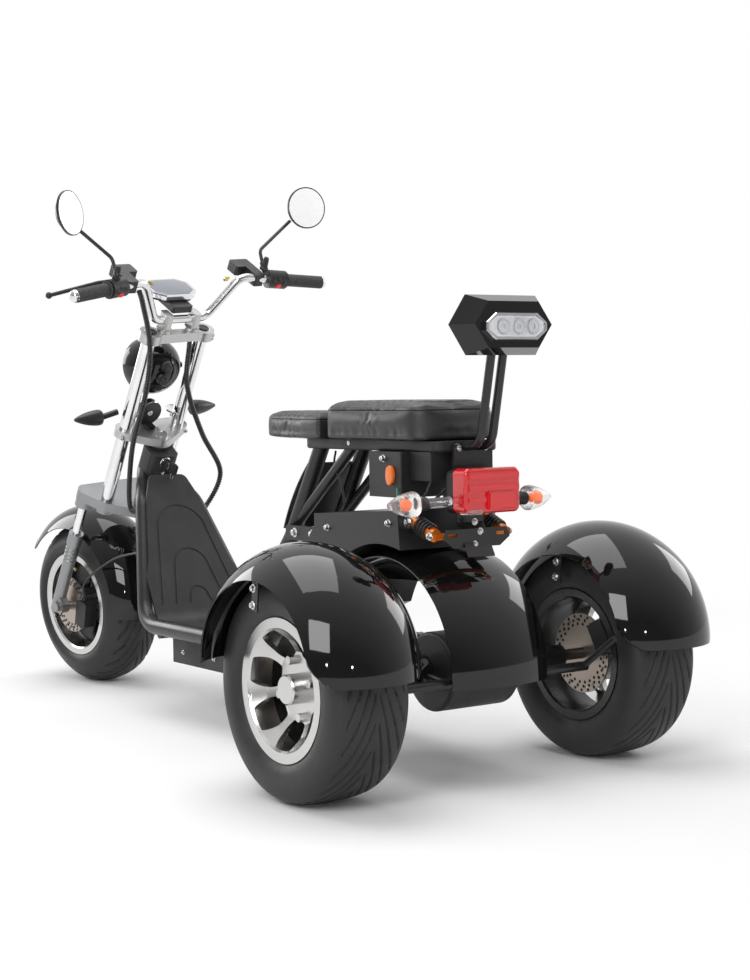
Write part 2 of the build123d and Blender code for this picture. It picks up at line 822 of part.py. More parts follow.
with BuildPart() as steering_stem:
    add(disc(top(steering, 0, 0, crown_bottom + 16), stem_radius, 255))
    with BuildSketch(top(steering, 0, 0, middle_clamp[0])) as yoke:
        Circle(30)
        with Locations((fork_tube_forward, fork_half_gauge), (fork_tube_forward, -fork_half_gauge)):
            Circle(28)
        make_hull(yoke.edges())
    extrude(amount=middle_clamp[1])
    with BuildSketch(top(steering, 0, 0, middle_clamp[0] - 5)):
        with Locations((fork_tube_forward, fork_half_gauge), (fork_tube_forward, -fork_half_gauge)):
            Circle(fork_tube_radius)
    extrude(amount=40, mode=Mode.SUBTRACT)
    with BuildSketch(top(steering, 0, 0, middle_clamp[0] + middle_clamp[1])):
        RegularPolygon(21, 6)
    extrude(amount=18)
steering_stem.part.label = "steering_stem"
export_step(steering_stem.part, "parts/steering_stem.step")

with BuildPart() as fork_tubes:
    for way in (1, -1):
        foot = crown_bottom + 16
        add(
            disc(
                top(steering, fork_tube_forward, way * fork_half_gauge, foot),
                fork_tube_radius,
                top_clamp_bottom + top_clamp_height - foot,
            )
        )
        leg = top(steering, leg_forward, way * leg_half_gauge, 120)
        add(disc(leg, stanchion_radius, crown_bottom + 12 - 120))
fork_tubes.part.label = "fork_tubes"
export_step(fork_tubes.part, "parts/fork_tubes.step")

with BuildPart() as lower_bracket:
    with BuildSketch(top(steering, 0, 0, crown_bottom)) as crown:
        Circle(32)
        for way in (1, -1):
            with Locations((fork_tube_forward, way * fork_half_gauge)):
                Circle(28)
            with Locations((leg_forward, way * leg_half_gauge)):
                Circle(26)
        make_hull(crown.edges())
    extrude(amount=crown_height)
    for way in (1, -1):
        add(disc(top(steering, leg_forward, way * leg_half_gauge, crown_bottom - 22), 24.5, 30))
        add(disc(top(steering, fork_tube_forward, way * fork_half_gauge, crown_bottom - 12), 24, 20))
    add(disc(top(steering, 0, 0, crown_bottom + 10), 25, 38))
    with BuildSketch(top(steering, 0, 0, crown_bottom - 60)):
        for way in (1, -1):
            with Locations((leg_forward, way * leg_half_gauge)):
                Circle(stanchion_radius)
    extrude(amount=72, mode=Mode.SUBTRACT)
    with BuildSketch(top(steering, 0, 0, crown_bottom + 16)):
        Circle(stem_radius)
        for way in (1, -1):
            with Locations((fork_tube_forward, way * fork_half_gauge)):
                Circle(fork_tube_radius)
    extrude(amount=80, mode=Mode.SUBTRACT)
lower_bracket.part.label = "lower_bracket"
export_step(lower_bracket.part, "parts/lower_bracket.step")

with BuildPart() as top_clamp:
    with BuildSketch(top(steering, 0, 0, top_clamp_bottom)) as bridge:
        with Locations((fork_tube_forward, fork_half_gauge), (fork_tube_forward, -fork_half_gauge)):
            Circle(30)
        with Locations((fork_tube_forward - 8, 0)):
            Rectangle(24, 2 * fork_half_gauge)
    extrude(amount=top_clamp_height)
    for way in (1, -1):
        add(block(top(steering, bar_seat[0], way * riser_offset, top_clamp_bottom + 8), 36, 22, 68, 5))
        add(disc(top(steering, bar_seat[0] - 2, way * riser_offset, top_clamp_bottom + 8), 20, 26))
    with BuildSketch(top(steering, 0, 0, top_clamp_bottom - 5)):
        with Locations((fork_tube_forward, fork_half_gauge), (fork_tube_forward, -fork_half_gauge)):
            Circle(fork_tube_radius)
    extrude(amount=60, mode=Mode.SUBTRACT)
    add(
        tube(steering, [(bar_seat[0], -90, bar_seat[1]), (bar_seat[0], 90, bar_seat[1])], bar_bore),
        mode=Mode.SUBTRACT,
    )
top_clamp.part.label = "top_clamp"
export_step(top_clamp.part, "parts/top_clamp.step")

with BuildPart() as fork_sliders:
    for way in (1, -1):
        leg = (leg_forward, way * leg_half_gauge)
        add(disc(top(steering, leg[0], leg[1], -72), 17, 232))
        add(disc(top(steering, leg[0], leg[1], 150), 20, 36))
        with BuildSketch(side(steering, 0, leg[1] + 12, 0)) as lug:
            with Locations((leg_forward, -30)):
                Circle(14)
            with Locations((spindle_offset, -spindle_drop)):
                Circle(19)
            make_hull(lug.edges())
        extrude(amount=24)
    with BuildSketch(top(steering, 0, 0, 119)):
        for way in (1, -1):
            with Locations((leg_forward, way * leg_half_gauge)):
                Circle(stanchion_radius)
    extrude(amount=80, mode=Mode.SUBTRACT)
    add(
        tube(
            steering,
            [(spindle_offset, -138, -spindle_drop), (spindle_offset, 138, -spindle_drop)],
            axle_radius,
        )
    )
fork_sliders.part.label = "fork_sliders"
export_step(fork_sliders.part, "parts/fork_sliders.step")

with BuildPart() as front_caliper:
    add(caliper(wheels["front"], 70, 165))
front_caliper.part.label = "front_caliper"
export_step(front_caliper.part, "parts/front_caliper.step")

# Handlebar and what it carries
grip_radius = 17.0
bar_knee = 80.0
bar_rise = (40.0, 150.0, 990.0)
bar_end = (-12.0, 390.0, 990.0)


def along_bar(way, share):
    """A place on the outer stretch of the bar, from its upper bend (0) to its end (1)."""
    return tuple(
        a + share * (b - a) for a, b in zip(bar_rise, bar_end)
    )[0], way * (bar_rise[1] + share * (bar_end[1] - bar_rise[1])), bar_rise[2]


with BuildPart() as handlebar:
    add(
        tube(
            steering,
            [
                (bar_end[0], bar_end[1], bar_end[2]),
                (bar_rise[0], bar_rise[1], bar_rise[2]),
                (bar_seat[0], bar_knee, bar_seat[1]),
                (bar_seat[0], -bar_knee, bar_seat[1]),
                (bar_rise[0], -bar_rise[1], bar_rise[2]),
                (bar_end[0], -bar_end[1], bar_end[2]),
            ],
            bar_radius,
            40,
        )
    )
handlebar.part.label = "handlebar"
export_step(handlebar.part, "parts/handlebar.step")

with BuildPart() as grips:
    for way in (1, -1):
        add(tube(steering, [along_bar(way, 0.525), along_bar(way, 1.0)], grip_radius))
        add(
            tube(steering, [along_bar(way, 0.5), along_bar(way, 1.01)], bar_radius),
            mode=Mode.SUBTRACT,
        )
grips.part.label = "grips"
export_step(grips.part, "parts/grips.step")

with BuildPart() as switch_housings:
    for way in (1, -1):
        add(tube(steering, [along_bar(way, 0.31), along_bar(way, 0.517)], 24))
        add(
            tube(steering, [along_bar(way, 0.3), along_bar(way, 0.6)], bar_radius),
            mode=Mode.SUBTRACT,
        )
switch_housings.part.label = "switch_housings"
export_step(switch_housings.part, "parts/switch_housings.step")

with BuildPart() as brake_masters:
    for way in (1, -1):
        clamp = along_bar(way, 0.2)
        add(block(top(steering, clamp[0] + 20, clamp[1], bar_rise[2] - 18), 62, 30, 32, 5))
        add(block(top(steering, clamp[0] + 60, clamp[1] - way * 14, bar_rise[2] - 12), 40, 58, 26, 5))
        tip = along_bar(way, 1.0)
        add(
            tube(
                steering,
                [
                    (clamp[0] + 44, clamp[1], bar_rise[2] - 10),
                    (clamp[0] + 50, clamp[1] + way * 60, bar_rise[2] - 18),
                    (tip[0] + 84, tip[1] + way * 6, bar_rise[2] - 42),
                ],
                5,
                30,
            )
        )
        add(
            tube(steering, [along_bar(way, 0.1), along_bar(way, 0.35)], bar_radius),
            mode=Mode.SUBTRACT,
        )
brake_masters.part.label = "brake_masters"
export_step(brake_masters.part, "parts/brake_masters.step")

display_centre = (118.0, 0.0, 905.0)
with BuildPart() as display:
    with BuildSketch(top(steering, *display_centre)):
        with BuildLine():
            Polyline(
                (-40, -38), (-40, 38), (-18, 66), (24, 66), (46, 40), (46, -40), (24, -66), (-18, -66), close=True
            )
        make_face()
    extrude(amount=18)
    add(block(top(steering, 92, 0, 888), 86, 60, 18, 4))
    add(
        tube(steering, [(52, -90, 869), (52, 90, 869)], 11 + fit_gap),
        mode=Mode.SUBTRACT,
    )
display.part.label = "display"
export_step(display.part, "parts/display.step")

mirror_centre = (112.0, 367.0, 1148.0)
mirror_radius = 54.5
mirror_feet = {1: (0.42, 28.0, 30.0), -1: (0.2625, 18.5, 15.0)}
with BuildPart() as mirror_stalks:
    for way in (1, -1):
        share, seat, _ = mirror_feet[way]
        foot = along_bar(way, share)
        add(
            tube(
                steering,
                [
                    (foot[0], foot[1], bar_rise[2] + seat),
                    (foot[0] + 42, foot[1], bar_rise[2] + 60),
                    (mirror_centre[0] + 8, way * (mirror_centre[1] - 34), mirror_centre[2] - 42),
                ],
                4.5,
                20,
            )
        )
        boot = bar_rise[2] + seat + 4
        add(tube(steering, [(foot[0], foot[1], boot), (foot[0] + 18, foot[1], boot + 16)], 8))
mirror_stalks.part.label = "mirror_stalks"
export_step(mirror_stalks.part, "parts/mirror_stalks.step")

with BuildPart() as mirrors:
    for way in (1, -1):
        facing = Vector(-1, 0, 0).rotate(Axis.Y, rake).rotate(Axis.Z, way * mirror_feet[way][2])
        place = Plane(
            origin=(mirror_centre[0], way * mirror_centre[1], mirror_centre[2]),
            z_dir=facing,
        )
        with BuildSketch(on(steering, place)):
            Circle(mirror_radius)
        extrude(amount=6)
        with BuildSketch(on(steering, place)):
            Circle(mirror_radius - 3)
        extrude(amount=-16, taper=45)
mirrors.part.label = "mirrors"
export_step(mirrors.part, "parts/mirrors.step")

# Lamps, horn and front indicators
lamp_centre = (88.0, 0.0, 711.0)
lamp_view = side(steering, *lamp_centre)
lamp_view = Plane(lamp_view.location * Location((0, 0, 0), (0, 0, -rake)))
with BuildPart() as headlamp:
    with BuildSketch(lamp_view):
        with BuildLine():
            Polyline((-60, 0), (55, 0), (55, 74))
            ThreePointArc((55, 74), (-20, 58), (-60, 0))
        make_face()
    revolve(axis=Axis(lamp_view.origin, lamp_view.x_dir))
    add(tube(steering, [(fork_tube_forward + 25, -62, 715), (fork_tube_forward + 25, 62, 715)], 8))
headlamp.part.label = "headlamp"
export_step(headlamp.part, "parts/headlamp.step")

with BuildPart() as horn:
    add(disc(back(steering, 74, 12, 584), 34, 22))
    add(block(top(steering, 50, 12, 549), 44, 24, 6))
horn.part.label = "horn"
export_step(horn.part, "parts/horn.step")

with BuildPart() as front_indicators:
    for way in (1, -1):
        add(tube(steering, [(76, way * 101, 584), (80, way * 150, 568)], 8))
        add(
            turned(
                on(steering, Plane((82, way * 148, 568), (1, 0, 0), (0, way, 0))),
                [(0, 0), (20, 0), (21, 6), (14, 50, 4, 76), (0, 79)],
            )
        )
front_indicators.part.label = "front_indicators"
export_step(front_indicators.part, "parts/front_indicators.step")

# Ribbed conduits from the bar and the clamp down to the rails, and the front brake's hose
conduit_radius = 7.0
hose_radius = 3.0
conduit_routes = [
    [(30, 168, 971), (25, 150, 935), (15, 103, 820), (0, 88, 690), (-8, 90, 520), (-28, 64, 352), (-104, 84, 388)],
    [(36, -38, 810), (8, -47, 690), (-12, -124, 548), (-32, -210, 425), (-42, -186, 325), (-104, -102, 384)],
]
hose_route = [(18, 92, 7.4), (30, 98, 55), (-9, 105, 127), (-71, 102, 214), (-132, 96, 272), (-190, 106, 318)]
with BuildPart() as control_conduits:
    for route in conduit_routes:
        add(tube(steering, route, conduit_radius, 30))
control_conduits.part.label = "control_conduits"
export_step(control_conduits.part, "parts/control_conduits.step")

with BuildPart() as front_brake_hose:
    add(tube(steering, hose_route, hose_radius, 30))
front_brake_hose.part.label = "front_brake_hose"
export_step(front_brake_hose.part, "parts/front_brake_hose.step")
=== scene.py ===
import json
import math

import bmesh
import bpy
from mathutils import Matrix, Vector


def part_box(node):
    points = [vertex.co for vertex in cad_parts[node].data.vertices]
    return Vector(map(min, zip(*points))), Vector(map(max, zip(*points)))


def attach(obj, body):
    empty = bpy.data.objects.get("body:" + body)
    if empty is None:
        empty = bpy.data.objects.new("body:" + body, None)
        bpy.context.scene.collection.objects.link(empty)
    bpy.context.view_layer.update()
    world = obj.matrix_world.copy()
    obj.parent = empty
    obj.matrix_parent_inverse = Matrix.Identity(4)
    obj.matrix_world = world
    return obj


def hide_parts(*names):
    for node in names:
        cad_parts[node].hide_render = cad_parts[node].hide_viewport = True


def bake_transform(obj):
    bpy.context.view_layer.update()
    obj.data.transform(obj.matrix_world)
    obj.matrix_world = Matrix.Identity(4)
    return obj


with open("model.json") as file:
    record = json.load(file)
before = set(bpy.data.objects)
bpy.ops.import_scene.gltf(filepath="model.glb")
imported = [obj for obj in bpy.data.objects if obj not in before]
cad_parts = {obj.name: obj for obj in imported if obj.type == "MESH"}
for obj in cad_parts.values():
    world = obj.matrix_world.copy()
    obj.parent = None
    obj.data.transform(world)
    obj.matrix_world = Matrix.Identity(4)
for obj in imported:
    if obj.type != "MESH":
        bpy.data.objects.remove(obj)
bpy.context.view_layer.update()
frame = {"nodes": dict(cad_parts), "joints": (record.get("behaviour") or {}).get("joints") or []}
nodes = frame["nodes"]
joints = {joint["name"]: joint for joint in frame["joints"]}

# Studio: a plain white floor and backdrop with the scooter parked on it. Large soft lamps hang
# over it and two small ones stand beside the camera, which looks from behind on the left.
axle_x = joints["rear_left_wheel_spin"]["pos_m"][0]


def on_frame(x, y, z):
    """A place in metres, from millimetres ahead of the rear axle, left of the middle and up."""
    return Vector((x / 1000 + axle_x, y / 1000, z / 1000))


yaw, pitch, roll = (math.radians(angle) for angle in (-34.8915, -2.565, -0.879))
view = Vector((math.cos(yaw) * math.cos(pitch), math.sin(yaw) * math.cos(pitch), math.sin(pitch)))
level_right = view.cross((0, 0, 1)).normalized()
level_up = level_right.cross(view)
view_right = level_right * math.cos(roll) + level_up * math.sin(roll)
view_up = level_up * math.cos(roll) - level_right * math.sin(roll)


def in_scene(name, data):
    """A new object of some data, in the scene."""
    thing = bpy.data.objects.new(name, data)
    bpy.context.scene.collection.objects.link(thing)
    return thing


camera = in_scene("camera", bpy.data.cameras.new("camera"))
camera.data.lens = 67.91
camera.data.shift_x = 0.0043
camera.data.shift_y = -0.0213
camera.data.clip_end = 60
stand = Matrix((view_right, view_up, -view)).transposed().to_4x4()
camera.matrix_world = Matrix.Translation(on_frame(-3023.9, 2335.9, 811.7)) @ stand
bpy.context.scene.camera = camera
bpy.context.scene.view_settings.view_transform = "Standard"


def soft_lamp(name, place, aim, width, height, power):
    """A rectangular soft lamp that hangs at a place and faces another."""
    data = bpy.data.lights.new(name, "AREA")
    data.shape = "RECTANGLE"
    data.size, data.size_y, data.energy = width, height, power
    turn = (Vector(aim) - Vector(place)).to_track_quat("-Z", "Y").to_matrix().to_4x4()
    in_scene(name, data).matrix_world = Matrix.Translation(place) @ turn


soft_lamp("overhead_lamp", (0.2, 0.3, 3.6), (0, 0, 0.4), 3.2, 2.2, 62)
soft_lamp("camera_side_lamp", (-2.6, 3.2, 2.4), (0, 0, 0.5), 1.8, 1.8, 70)
soft_lamp("front_lamp", (3.4, 1.2, 1.8), (0.3, 0, 0.6), 1.6, 1.6, 34)
soft_lamp("far_side_lamp", (-0.6, -3.6, 2.0), (0, 0, 0.5), 2.0, 1.4, 30)
for name, place in (("left_spot", (-3.3, 3.1, 0.9)), ("right_spot", (-4.3, 1.3, 0.8))):
    spot = in_scene(name, bpy.data.lights.new(name, "POINT"))
    spot.data.energy = 16
    spot.data.shadow_soft_size = 0.06
    spot.location = place


def wire(tree, source, target):
    """Joins an output socket to an input socket."""
    tree.links.new(source, target)


def put(tree, kind, *wires, **settings):
    """A node with its settings, and (input, source or plain value) pairs."""
    node = tree.nodes.new(kind)
    for label, value in settings.items():
        setattr(node, label, value)
    for label, source in wires:
        if isinstance(source, bpy.types.NodeSocket):
            wire(tree, source, node.inputs[label])
        else:
            node.inputs[label].default_value = source
    return node


def spread(tree, value, low, high, to_low=0.0, to_high=1.0, kind="LINEAR"):
    """A value's range stretched to another."""
    return put(
        tree, "ShaderNodeMapRange", ("Value", value), ("From Min", low), ("From Max", high),
        ("To Min", to_low), ("To Max", to_high), interpolation_type=kind,
    ).outputs["Result"]


def reckon(tree, operation, *terms):
    """A math node on sockets and plain numbers."""
    return put(tree, "ShaderNodeMath", *enumerate(terms), operation=operation).outputs[0]


def point_math(tree, operation, *terms):
    """A vector math node on sockets and plain vectors."""
    return put(tree, "ShaderNodeVectorMath", *enumerate(terms), operation=operation).outputs


world = bpy.data.worlds.new("studio")
bpy.context.scene.world = world
world.use_nodes = True
sky = world.node_tree
rays = put(sky, "ShaderNodeLightPath").outputs
seen = reckon(sky, "MAXIMUM", rays["Is Camera Ray"], rays["Is Transmission Ray"])
where = put(sky, "ShaderNodeTexCoord").outputs["Generated"]
toward = point_math(sky, "DOT_PRODUCT", where, (0.66, -0.46, 0.6))["Value"]
fall = spread(sky, toward, -0.55, 0.75, 0.16)
mirrored = put(sky, "ShaderNodeMix", ("A", 0.5), ("Factor", rays["Is Glossy Ray"]), ("B", fall))
level = put(sky, "ShaderNodeMix", ("B", 1.0), ("Factor", seen), ("A", mirrored.outputs["Result"]))
wire(sky, level.outputs["Result"], sky.nodes["Background"].inputs["Strength"])
sky.nodes["Background"].inputs["Color"].default_value = (1, 1, 1, 1)

floor_mesh = bmesh.new()
bmesh.ops.create_circle(floor_mesh, cap_ends=True, segments=96, radius=24)
floor = in_scene("floor", bpy.data.meshes.new("floor"))
floor_mesh.to_mesh(floor.data)
floor_mesh.free()
floor_white = bpy.data.materials.new("floor_white")
floor_white.use_nodes = True
paint = floor_white.node_tree
white = paint.nodes["Principled BSDF"]
white.inputs["Base Color"].default_value = (0.93, 0.93, 0.93, 1)
white.inputs["Roughness"].default_value = 0.9
white.inputs["Specular IOR Level"].default_value = 0.1
floor_place = put(paint, "ShaderNodeTexCoord").outputs["Object"]
fade = spread(paint, point_math(paint, "LENGTH", floor_place)["Value"], 1.0, 3.2, kind="SMOOTHSTEP")
glow = put(paint, "ShaderNodeEmission").outputs[0]
blend = put(paint, "ShaderNodeMixShader", (0, fade), (1, white.outputs[0]), (2, glow))
wire(paint, blend.outputs[0], paint.nodes["Material Output"].inputs["Surface"])
floor.data.materials.append(floor_white)

# Steel frame: round tubes bent and welded, with the swing arm, axle beam, guard stays and the
# posts of the backrest. All are coated in satin black powder with a fine orange peel.


def new_group(name, inputs, outputs):
    """A shader node group with its named number inputs and its outputs."""
    group = bpy.data.node_groups.new(name, "ShaderNodeTree")
    for label, value in inputs:
        socket = group.interface.new_socket(label, in_out="INPUT", socket_type="NodeSocketFloat")
        socket.default_value = value
    for label, kind in outputs:
        group.interface.new_socket(label, in_out="OUTPUT", socket_type=kind)
    return group, group.nodes.new("NodeGroupInput"), group.nodes.new("NodeGroupOutput")


def noise(tree, vector, scale, detail, rough=0.5):
    """A noise texture on a vector, its scale a number or a socket."""
    return put(
        tree, "ShaderNodeTexNoise", ("Detail", detail), ("Roughness", rough), ("Vector", vector),
        ("Scale", scale),
    ).outputs["Fac"]


# Surface grain: cloudy unevenness for tone and gloss, and a fine height for the bump
grain, grain_in, grain_out = new_group(
    "surface_grain",
    [("Grain", 900.0), ("Cloud", 9.0)],
    [("Cloud", "NodeSocketFloat"), ("Height", "NodeSocketFloat"), ("Scuff", "NodeSocketFloat")],
)
grain_place = put(grain, "ShaderNodeTexCoord").outputs["Object"]
wire(grain, noise(grain, grain_place, grain_in.outputs["Cloud"], 5), grain_out.inputs["Cloud"])
wire(grain, noise(grain, grain_place, grain_in.outputs["Grain"], 2), grain_out.inputs["Height"])
scuff_map = put(grain, "ShaderNodeMapping", ("Scale", (30, 30, 260)), ("Vector", grain_place))
scuff_lines = spread(grain, noise(grain, scuff_map.outputs[0], 1.0, 6, 0.7), 0.62, 0.72)
scuff_patch = spread(grain, noise(grain, grain_place, 6.0, 3), 0.5, 0.68)
wire(grain, reckon(grain, "MULTIPLY", scuff_lines, scuff_patch), grain_out.inputs["Scuff"])

# Dust lies in patches on what faces up
dust, dust_in, dust_out = new_group("settled_dust", [("Amount", 0.2)], [("Mask", "NodeSocketFloat")])
dust_normal = put(dust, "ShaderNodeNewGeometry").outputs["Normal"]
dust_up = put(dust, "ShaderNodeSeparateXYZ", (0, dust_normal)).outputs["Z"]
dust_place = put(dust, "ShaderNodeTexCoord").outputs["Object"]
dust_cloud = spread(dust, noise(dust, dust_place, 14.0, 6, 0.65), 0.4, 0.75)
dust_top = spread(dust, dust_up, 0.1, 1.0)
dust_lie = reckon(dust, "MULTIPLY", dust_top, dust_cloud)
dust_mask = reckon(dust, "MULTIPLY", dust_lie, dust_in.outputs["Amount"])
wire(dust, dust_mask, dust_out.inputs[0])


def finish(
    name, colour, roughness, metallic=0.0, grain_scale=900.0, bump=0.05, dusty=0.1, scuffed=0.2, **plain,
):
    """A surface with uneven tone and gloss, fine grain, light scuffs and a little dust."""
    material = bpy.data.materials.new(name)
    material.use_nodes = True
    tree = material.node_tree
    shader = tree.nodes["Principled BSDF"]
    shader.inputs["Metallic"].default_value = metallic
    for label, value in plain.items():
        shader.inputs[label.replace("_", " ")].default_value = value
    texture = put(tree, "ShaderNodeGroup", node_tree=grain)
    texture.inputs["Grain"].default_value = grain_scale
    settled = put(tree, "ShaderNodeGroup", node_tree=dust)
    settled.inputs["Amount"].default_value = dusty
    tone = put(
        tree, "ShaderNodeMix", ("A", [*(c * 0.86 for c in colour), 1]),
        ("B", [*(min(c * 1.14, 1) for c in colour), 1]), ("Factor", texture.outputs["Cloud"]),
        data_type="RGBA",
    )
    worn = put(
        tree, "ShaderNodeMix", ("A", tone.outputs["Result"]), ("B", (0.32, 0.31, 0.29, 1)),
        ("Factor", settled.outputs[0]), data_type="RGBA",
    )
    wire(tree, worn.outputs["Result"], shader.inputs["Base Color"])
    gloss = spread(tree, texture.outputs["Cloud"], 0.3, 0.7, roughness * 0.8, roughness * 1.2)
    rough = reckon(tree, "MULTIPLY_ADD", texture.outputs["Scuff"], scuffed, gloss)
    wire(tree, rough, shader.inputs["Roughness"])
    relief = put(
        tree, "ShaderNodeBump", ("Strength", bump), ("Distance", 0.001),
        ("Height", texture.outputs["Height"]),
    )
    wire(tree, relief.outputs[0], shader.inputs["Normal"])
    return material


def dress(material, *names):
    """Gives CAD nodes a material in place of their plain one."""
    for name in names:
        slots = nodes[name].data.materials
        slots.clear()
        slots.append(material)


frame_black = finish("frame_black", (0.010, 0.010, 0.011), 0.3, grain_scale=420, bump=0.06, dusty=0.08)
dress(frame_black, "main_frame", "swing_arm", "rear_axle", "guard_stays", "backrest_posts", "plate_bracket")


def shape(name, mesh, material, body, crease=35.0):
    """A finished piece of the scooter: a mesh in its material, riding on a body."""
    data = bpy.data.meshes.new(name)
    bmesh.ops.recalc_face_normals(mesh, faces=mesh.faces)
    mesh.to_mesh(data)
    mesh.free()
    data.shade_smooth()
    data.set_sharp_from_angle(angle=math.radians(crease))
    data.materials.append(material)
    piece = in_scene(name, data)
    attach(piece, body)
    return piece


def geometry_tree(name, **sizes):
    """A Geometry Nodes tree with named sizes and a material as its inputs."""
    tree = bpy.data.node_groups.new(name, "GeometryNodeTree")
    tree.interface.new_socket("Geometry", in_out="INPUT", socket_type="NodeSocketGeometry")
    tree.interface.new_socket("Finish", in_out="INPUT", socket_type="NodeSocketMaterial")
    for label, value in sizes.items():
        tree.interface.new_socket(
            label, in_out="INPUT", socket_type="NodeSocketFloat",
        ).default_value = value
    tree.interface.new_socket("Geometry", in_out="OUTPUT", socket_type="NodeSocketGeometry")
    return tree, tree.nodes.new("NodeGroupInput").outputs, tree.nodes.new("NodeGroupOutput").inputs


def close_tree(tree, inputs, outputs, geometry):
    """Ends a tree: real mesh, in its material."""
    real = put(tree, "GeometryNodeRealizeInstances", ("Geometry", geometry)).outputs[0]
    dressed = put(tree, "GeometryNodeSetMaterial", ("Geometry", real), ("Material", inputs["Finish"]))
    wire(tree, dressed.outputs[0], outputs["Geometry"])


def baked(holder):
    """The mesh of an object as its modifiers leave it."""
    return bpy.data.meshes.new_from_object(holder.evaluated_get(bpy.context.evaluated_depsgraph_get()))


def grow(name, seed, tree, material, body, crease=35.0, **sizes):
    """A seed mesh run through a geometry tree and kept as one plain mesh, on a body if one is named."""
    data = bpy.data.meshes.new(name + "_seed")
    seed.to_mesh(data)
    seed.free()
    holder = in_scene(name + "_seed", data)
    modifier = holder.modifiers.new("grow", "NODES")
    modifier.node_group = tree
    for socket in tree.interface.items_tree:
        if socket.in_out == "INPUT" and socket.name in sizes:
            modifier[socket.identifier] = float(sizes[socket.name])
        elif socket.name == "Finish":
            modifier[socket.identifier] = material
    result = baked(holder)
    bpy.data.objects.remove(holder)
    result.name = name
    result.shade_smooth()
    result.set_sharp_from_angle(angle=math.radians(crease))
    piece = in_scene(name, result)
    if body:
        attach(piece, body)
    return piece


def layer(tree, name, kind="FLOAT"):
    """A named attribute of the seed mesh, as a socket."""
    return put(tree, "GeometryNodeInputNamedAttribute", ("Name", name), data_type=kind).outputs[0]


# Bolts: a hexagon head on a washer, with a shallow dome, set on each seed point along its own axis
bolts, bolts_in, bolts_out = geometry_tree("bolt_heads", Washer=1.45, Dome=0.35)
facing = layer(bolts, "outward", "FLOAT_VECTOR")
bolt_size = layer(bolts, "size")
turn_to = put(bolts, "FunctionNodeAlignRotationToVector", ("Vector", facing), axis="Z")
washer = put(
    bolts, "GeometryNodeMeshCylinder", ("Vertices", 24), ("Radius", bolts_in["Washer"]), ("Depth", 0.3),
)
hexagon = put(bolts, "GeometryNodeMeshCylinder", ("Vertices", 6), ("Radius", 1.0), ("Depth", 1.0))
raised = put(
    bolts, "GeometryNodeTransform", ("Geometry", hexagon.outputs[0]), ("Translation", (0, 0, 0.55)),
)
crown = put(bolts, "GeometryNodeMeshUVSphere", ("Segments", 16), ("Rings", 8), ("Radius", 0.8))
crown_rise = put(bolts, "ShaderNodeCombineXYZ", ("X", 1.0), ("Y", 1.0), ("Z", bolts_in["Dome"]))
crown_set = put(
    bolts, "GeometryNodeTransform", ("Geometry", crown.outputs[0]), ("Translation", (0, 0, 1.0)),
    ("Scale", crown_rise.outputs[0]),
)
bolt_whole = bolts.nodes.new("GeometryNodeJoinGeometry")
for part in (washer.outputs[0], raised.outputs[0], crown_set.outputs[0]):
    wire(bolts, part, bolt_whole.inputs[0])
bolts_placed = put(
    bolts, "GeometryNodeInstanceOnPoints", ("Points", bolts_in["Geometry"]),
    ("Instance", bolt_whole.outputs[0]), ("Rotation", turn_to.outputs[0]), ("Scale", bolt_size),
)
close_tree(bolts, bolts_in, bolts_out, bolts_placed.outputs[0])


def sites(places):
    """Seed points for bolts: (place, outward direction, size in metres)."""
    seed = bmesh.new()
    outward = seed.verts.layers.float_vector.new("outward")
    size = seed.verts.layers.float.new("size")
    for place, way, radius in places:
        point = seed.verts.new(place)
        point[outward] = Vector(way).normalized()
        point[size] = radius
    return seed


def fasten(name, places, material, body="frame", **sizes):
    """Bolts in a finish at places on a body."""
    grow(name, sites(places), bolts, material, body, crease=30, **sizes)


zinc = finish("zinc", (0.62, 0.62, 0.6), 0.26, metallic=1.0, grain_scale=1500, bump=0.1, dusty=0.05)
frame_bolts = []
for hand in (1, -1):
    for x, z in ((510, 483), (436, 483)):
        frame_bolts.append((on_frame(x, hand * 84, z), (0, hand, 0), 0.0075))
    for x, z in ((330, 239), (292, 690)):
        frame_bolts.append((on_frame(x, hand * (128 if z < 300 else 73), z), (0, hand, 0), 0.008))
fasten("frame_bolts", frame_bolts, zinc)

# Footboard: one black moulding that climbs from the deck to a leg shield with three arches cut in
# it. It has a fine leathery grain, and the battery box under it is the same plastic, a little duller.
board_black = finish(
    "board_black", (0.017, 0.017, 0.018), 0.46, grain_scale=1300, bump=0.22, dusty=0.1, scuffed=0.12,
)
dress(board_black, "footboard", "neck_cover", "seat_front_cover")
box_black = finish("box_black", (0.012, 0.012, 0.013), 0.5, grain_scale=900, bump=0.3, dusty=0.2)
dress(box_black, "battery_box", "electrics_box", "seat_pan")
box_screws = [
    (on_frame(x, hand * 128.5, 164), (0, hand, 0), 0.004) for hand in (1, -1) for x in (510, 660, 810, 960)
]
fasten("battery_box_screws", box_screws, zinc)

# Ignition lock: a chromed barrel in the neck cover, with the key turned in it. A second key and its
# dark rubber tag hang from the same ring.


head_foot = Vector((0.763317, 0, 0.225))
column = Vector((-0.523242, 0, 0.852184))
straight_ahead = Vector((0.852184, 0, 0.523242))
parked_turn = math.radians(7.5)
wheel_ahead = Matrix.Rotation(parked_turn, 3, column) @ straight_ahead


def steered(u, v, w):
    """A place in metres, from millimetres ahead, to the left and up along the steering column."""
    return head_foot + (wheel_ahead * u + column.cross(wheel_ahead) * v + column * w) / 1000


def steered_way(u, v, w):
    """A direction in the steered frame."""
    return (steered(u, v, w) - head_foot).normalized()


def on_head(u, v, w):
    """A place beside the head tube, which doesn't steer, from millimetres."""
    return head_foot + (straight_ahead * u + Vector((0, v, 0)) + column * w) / 1000


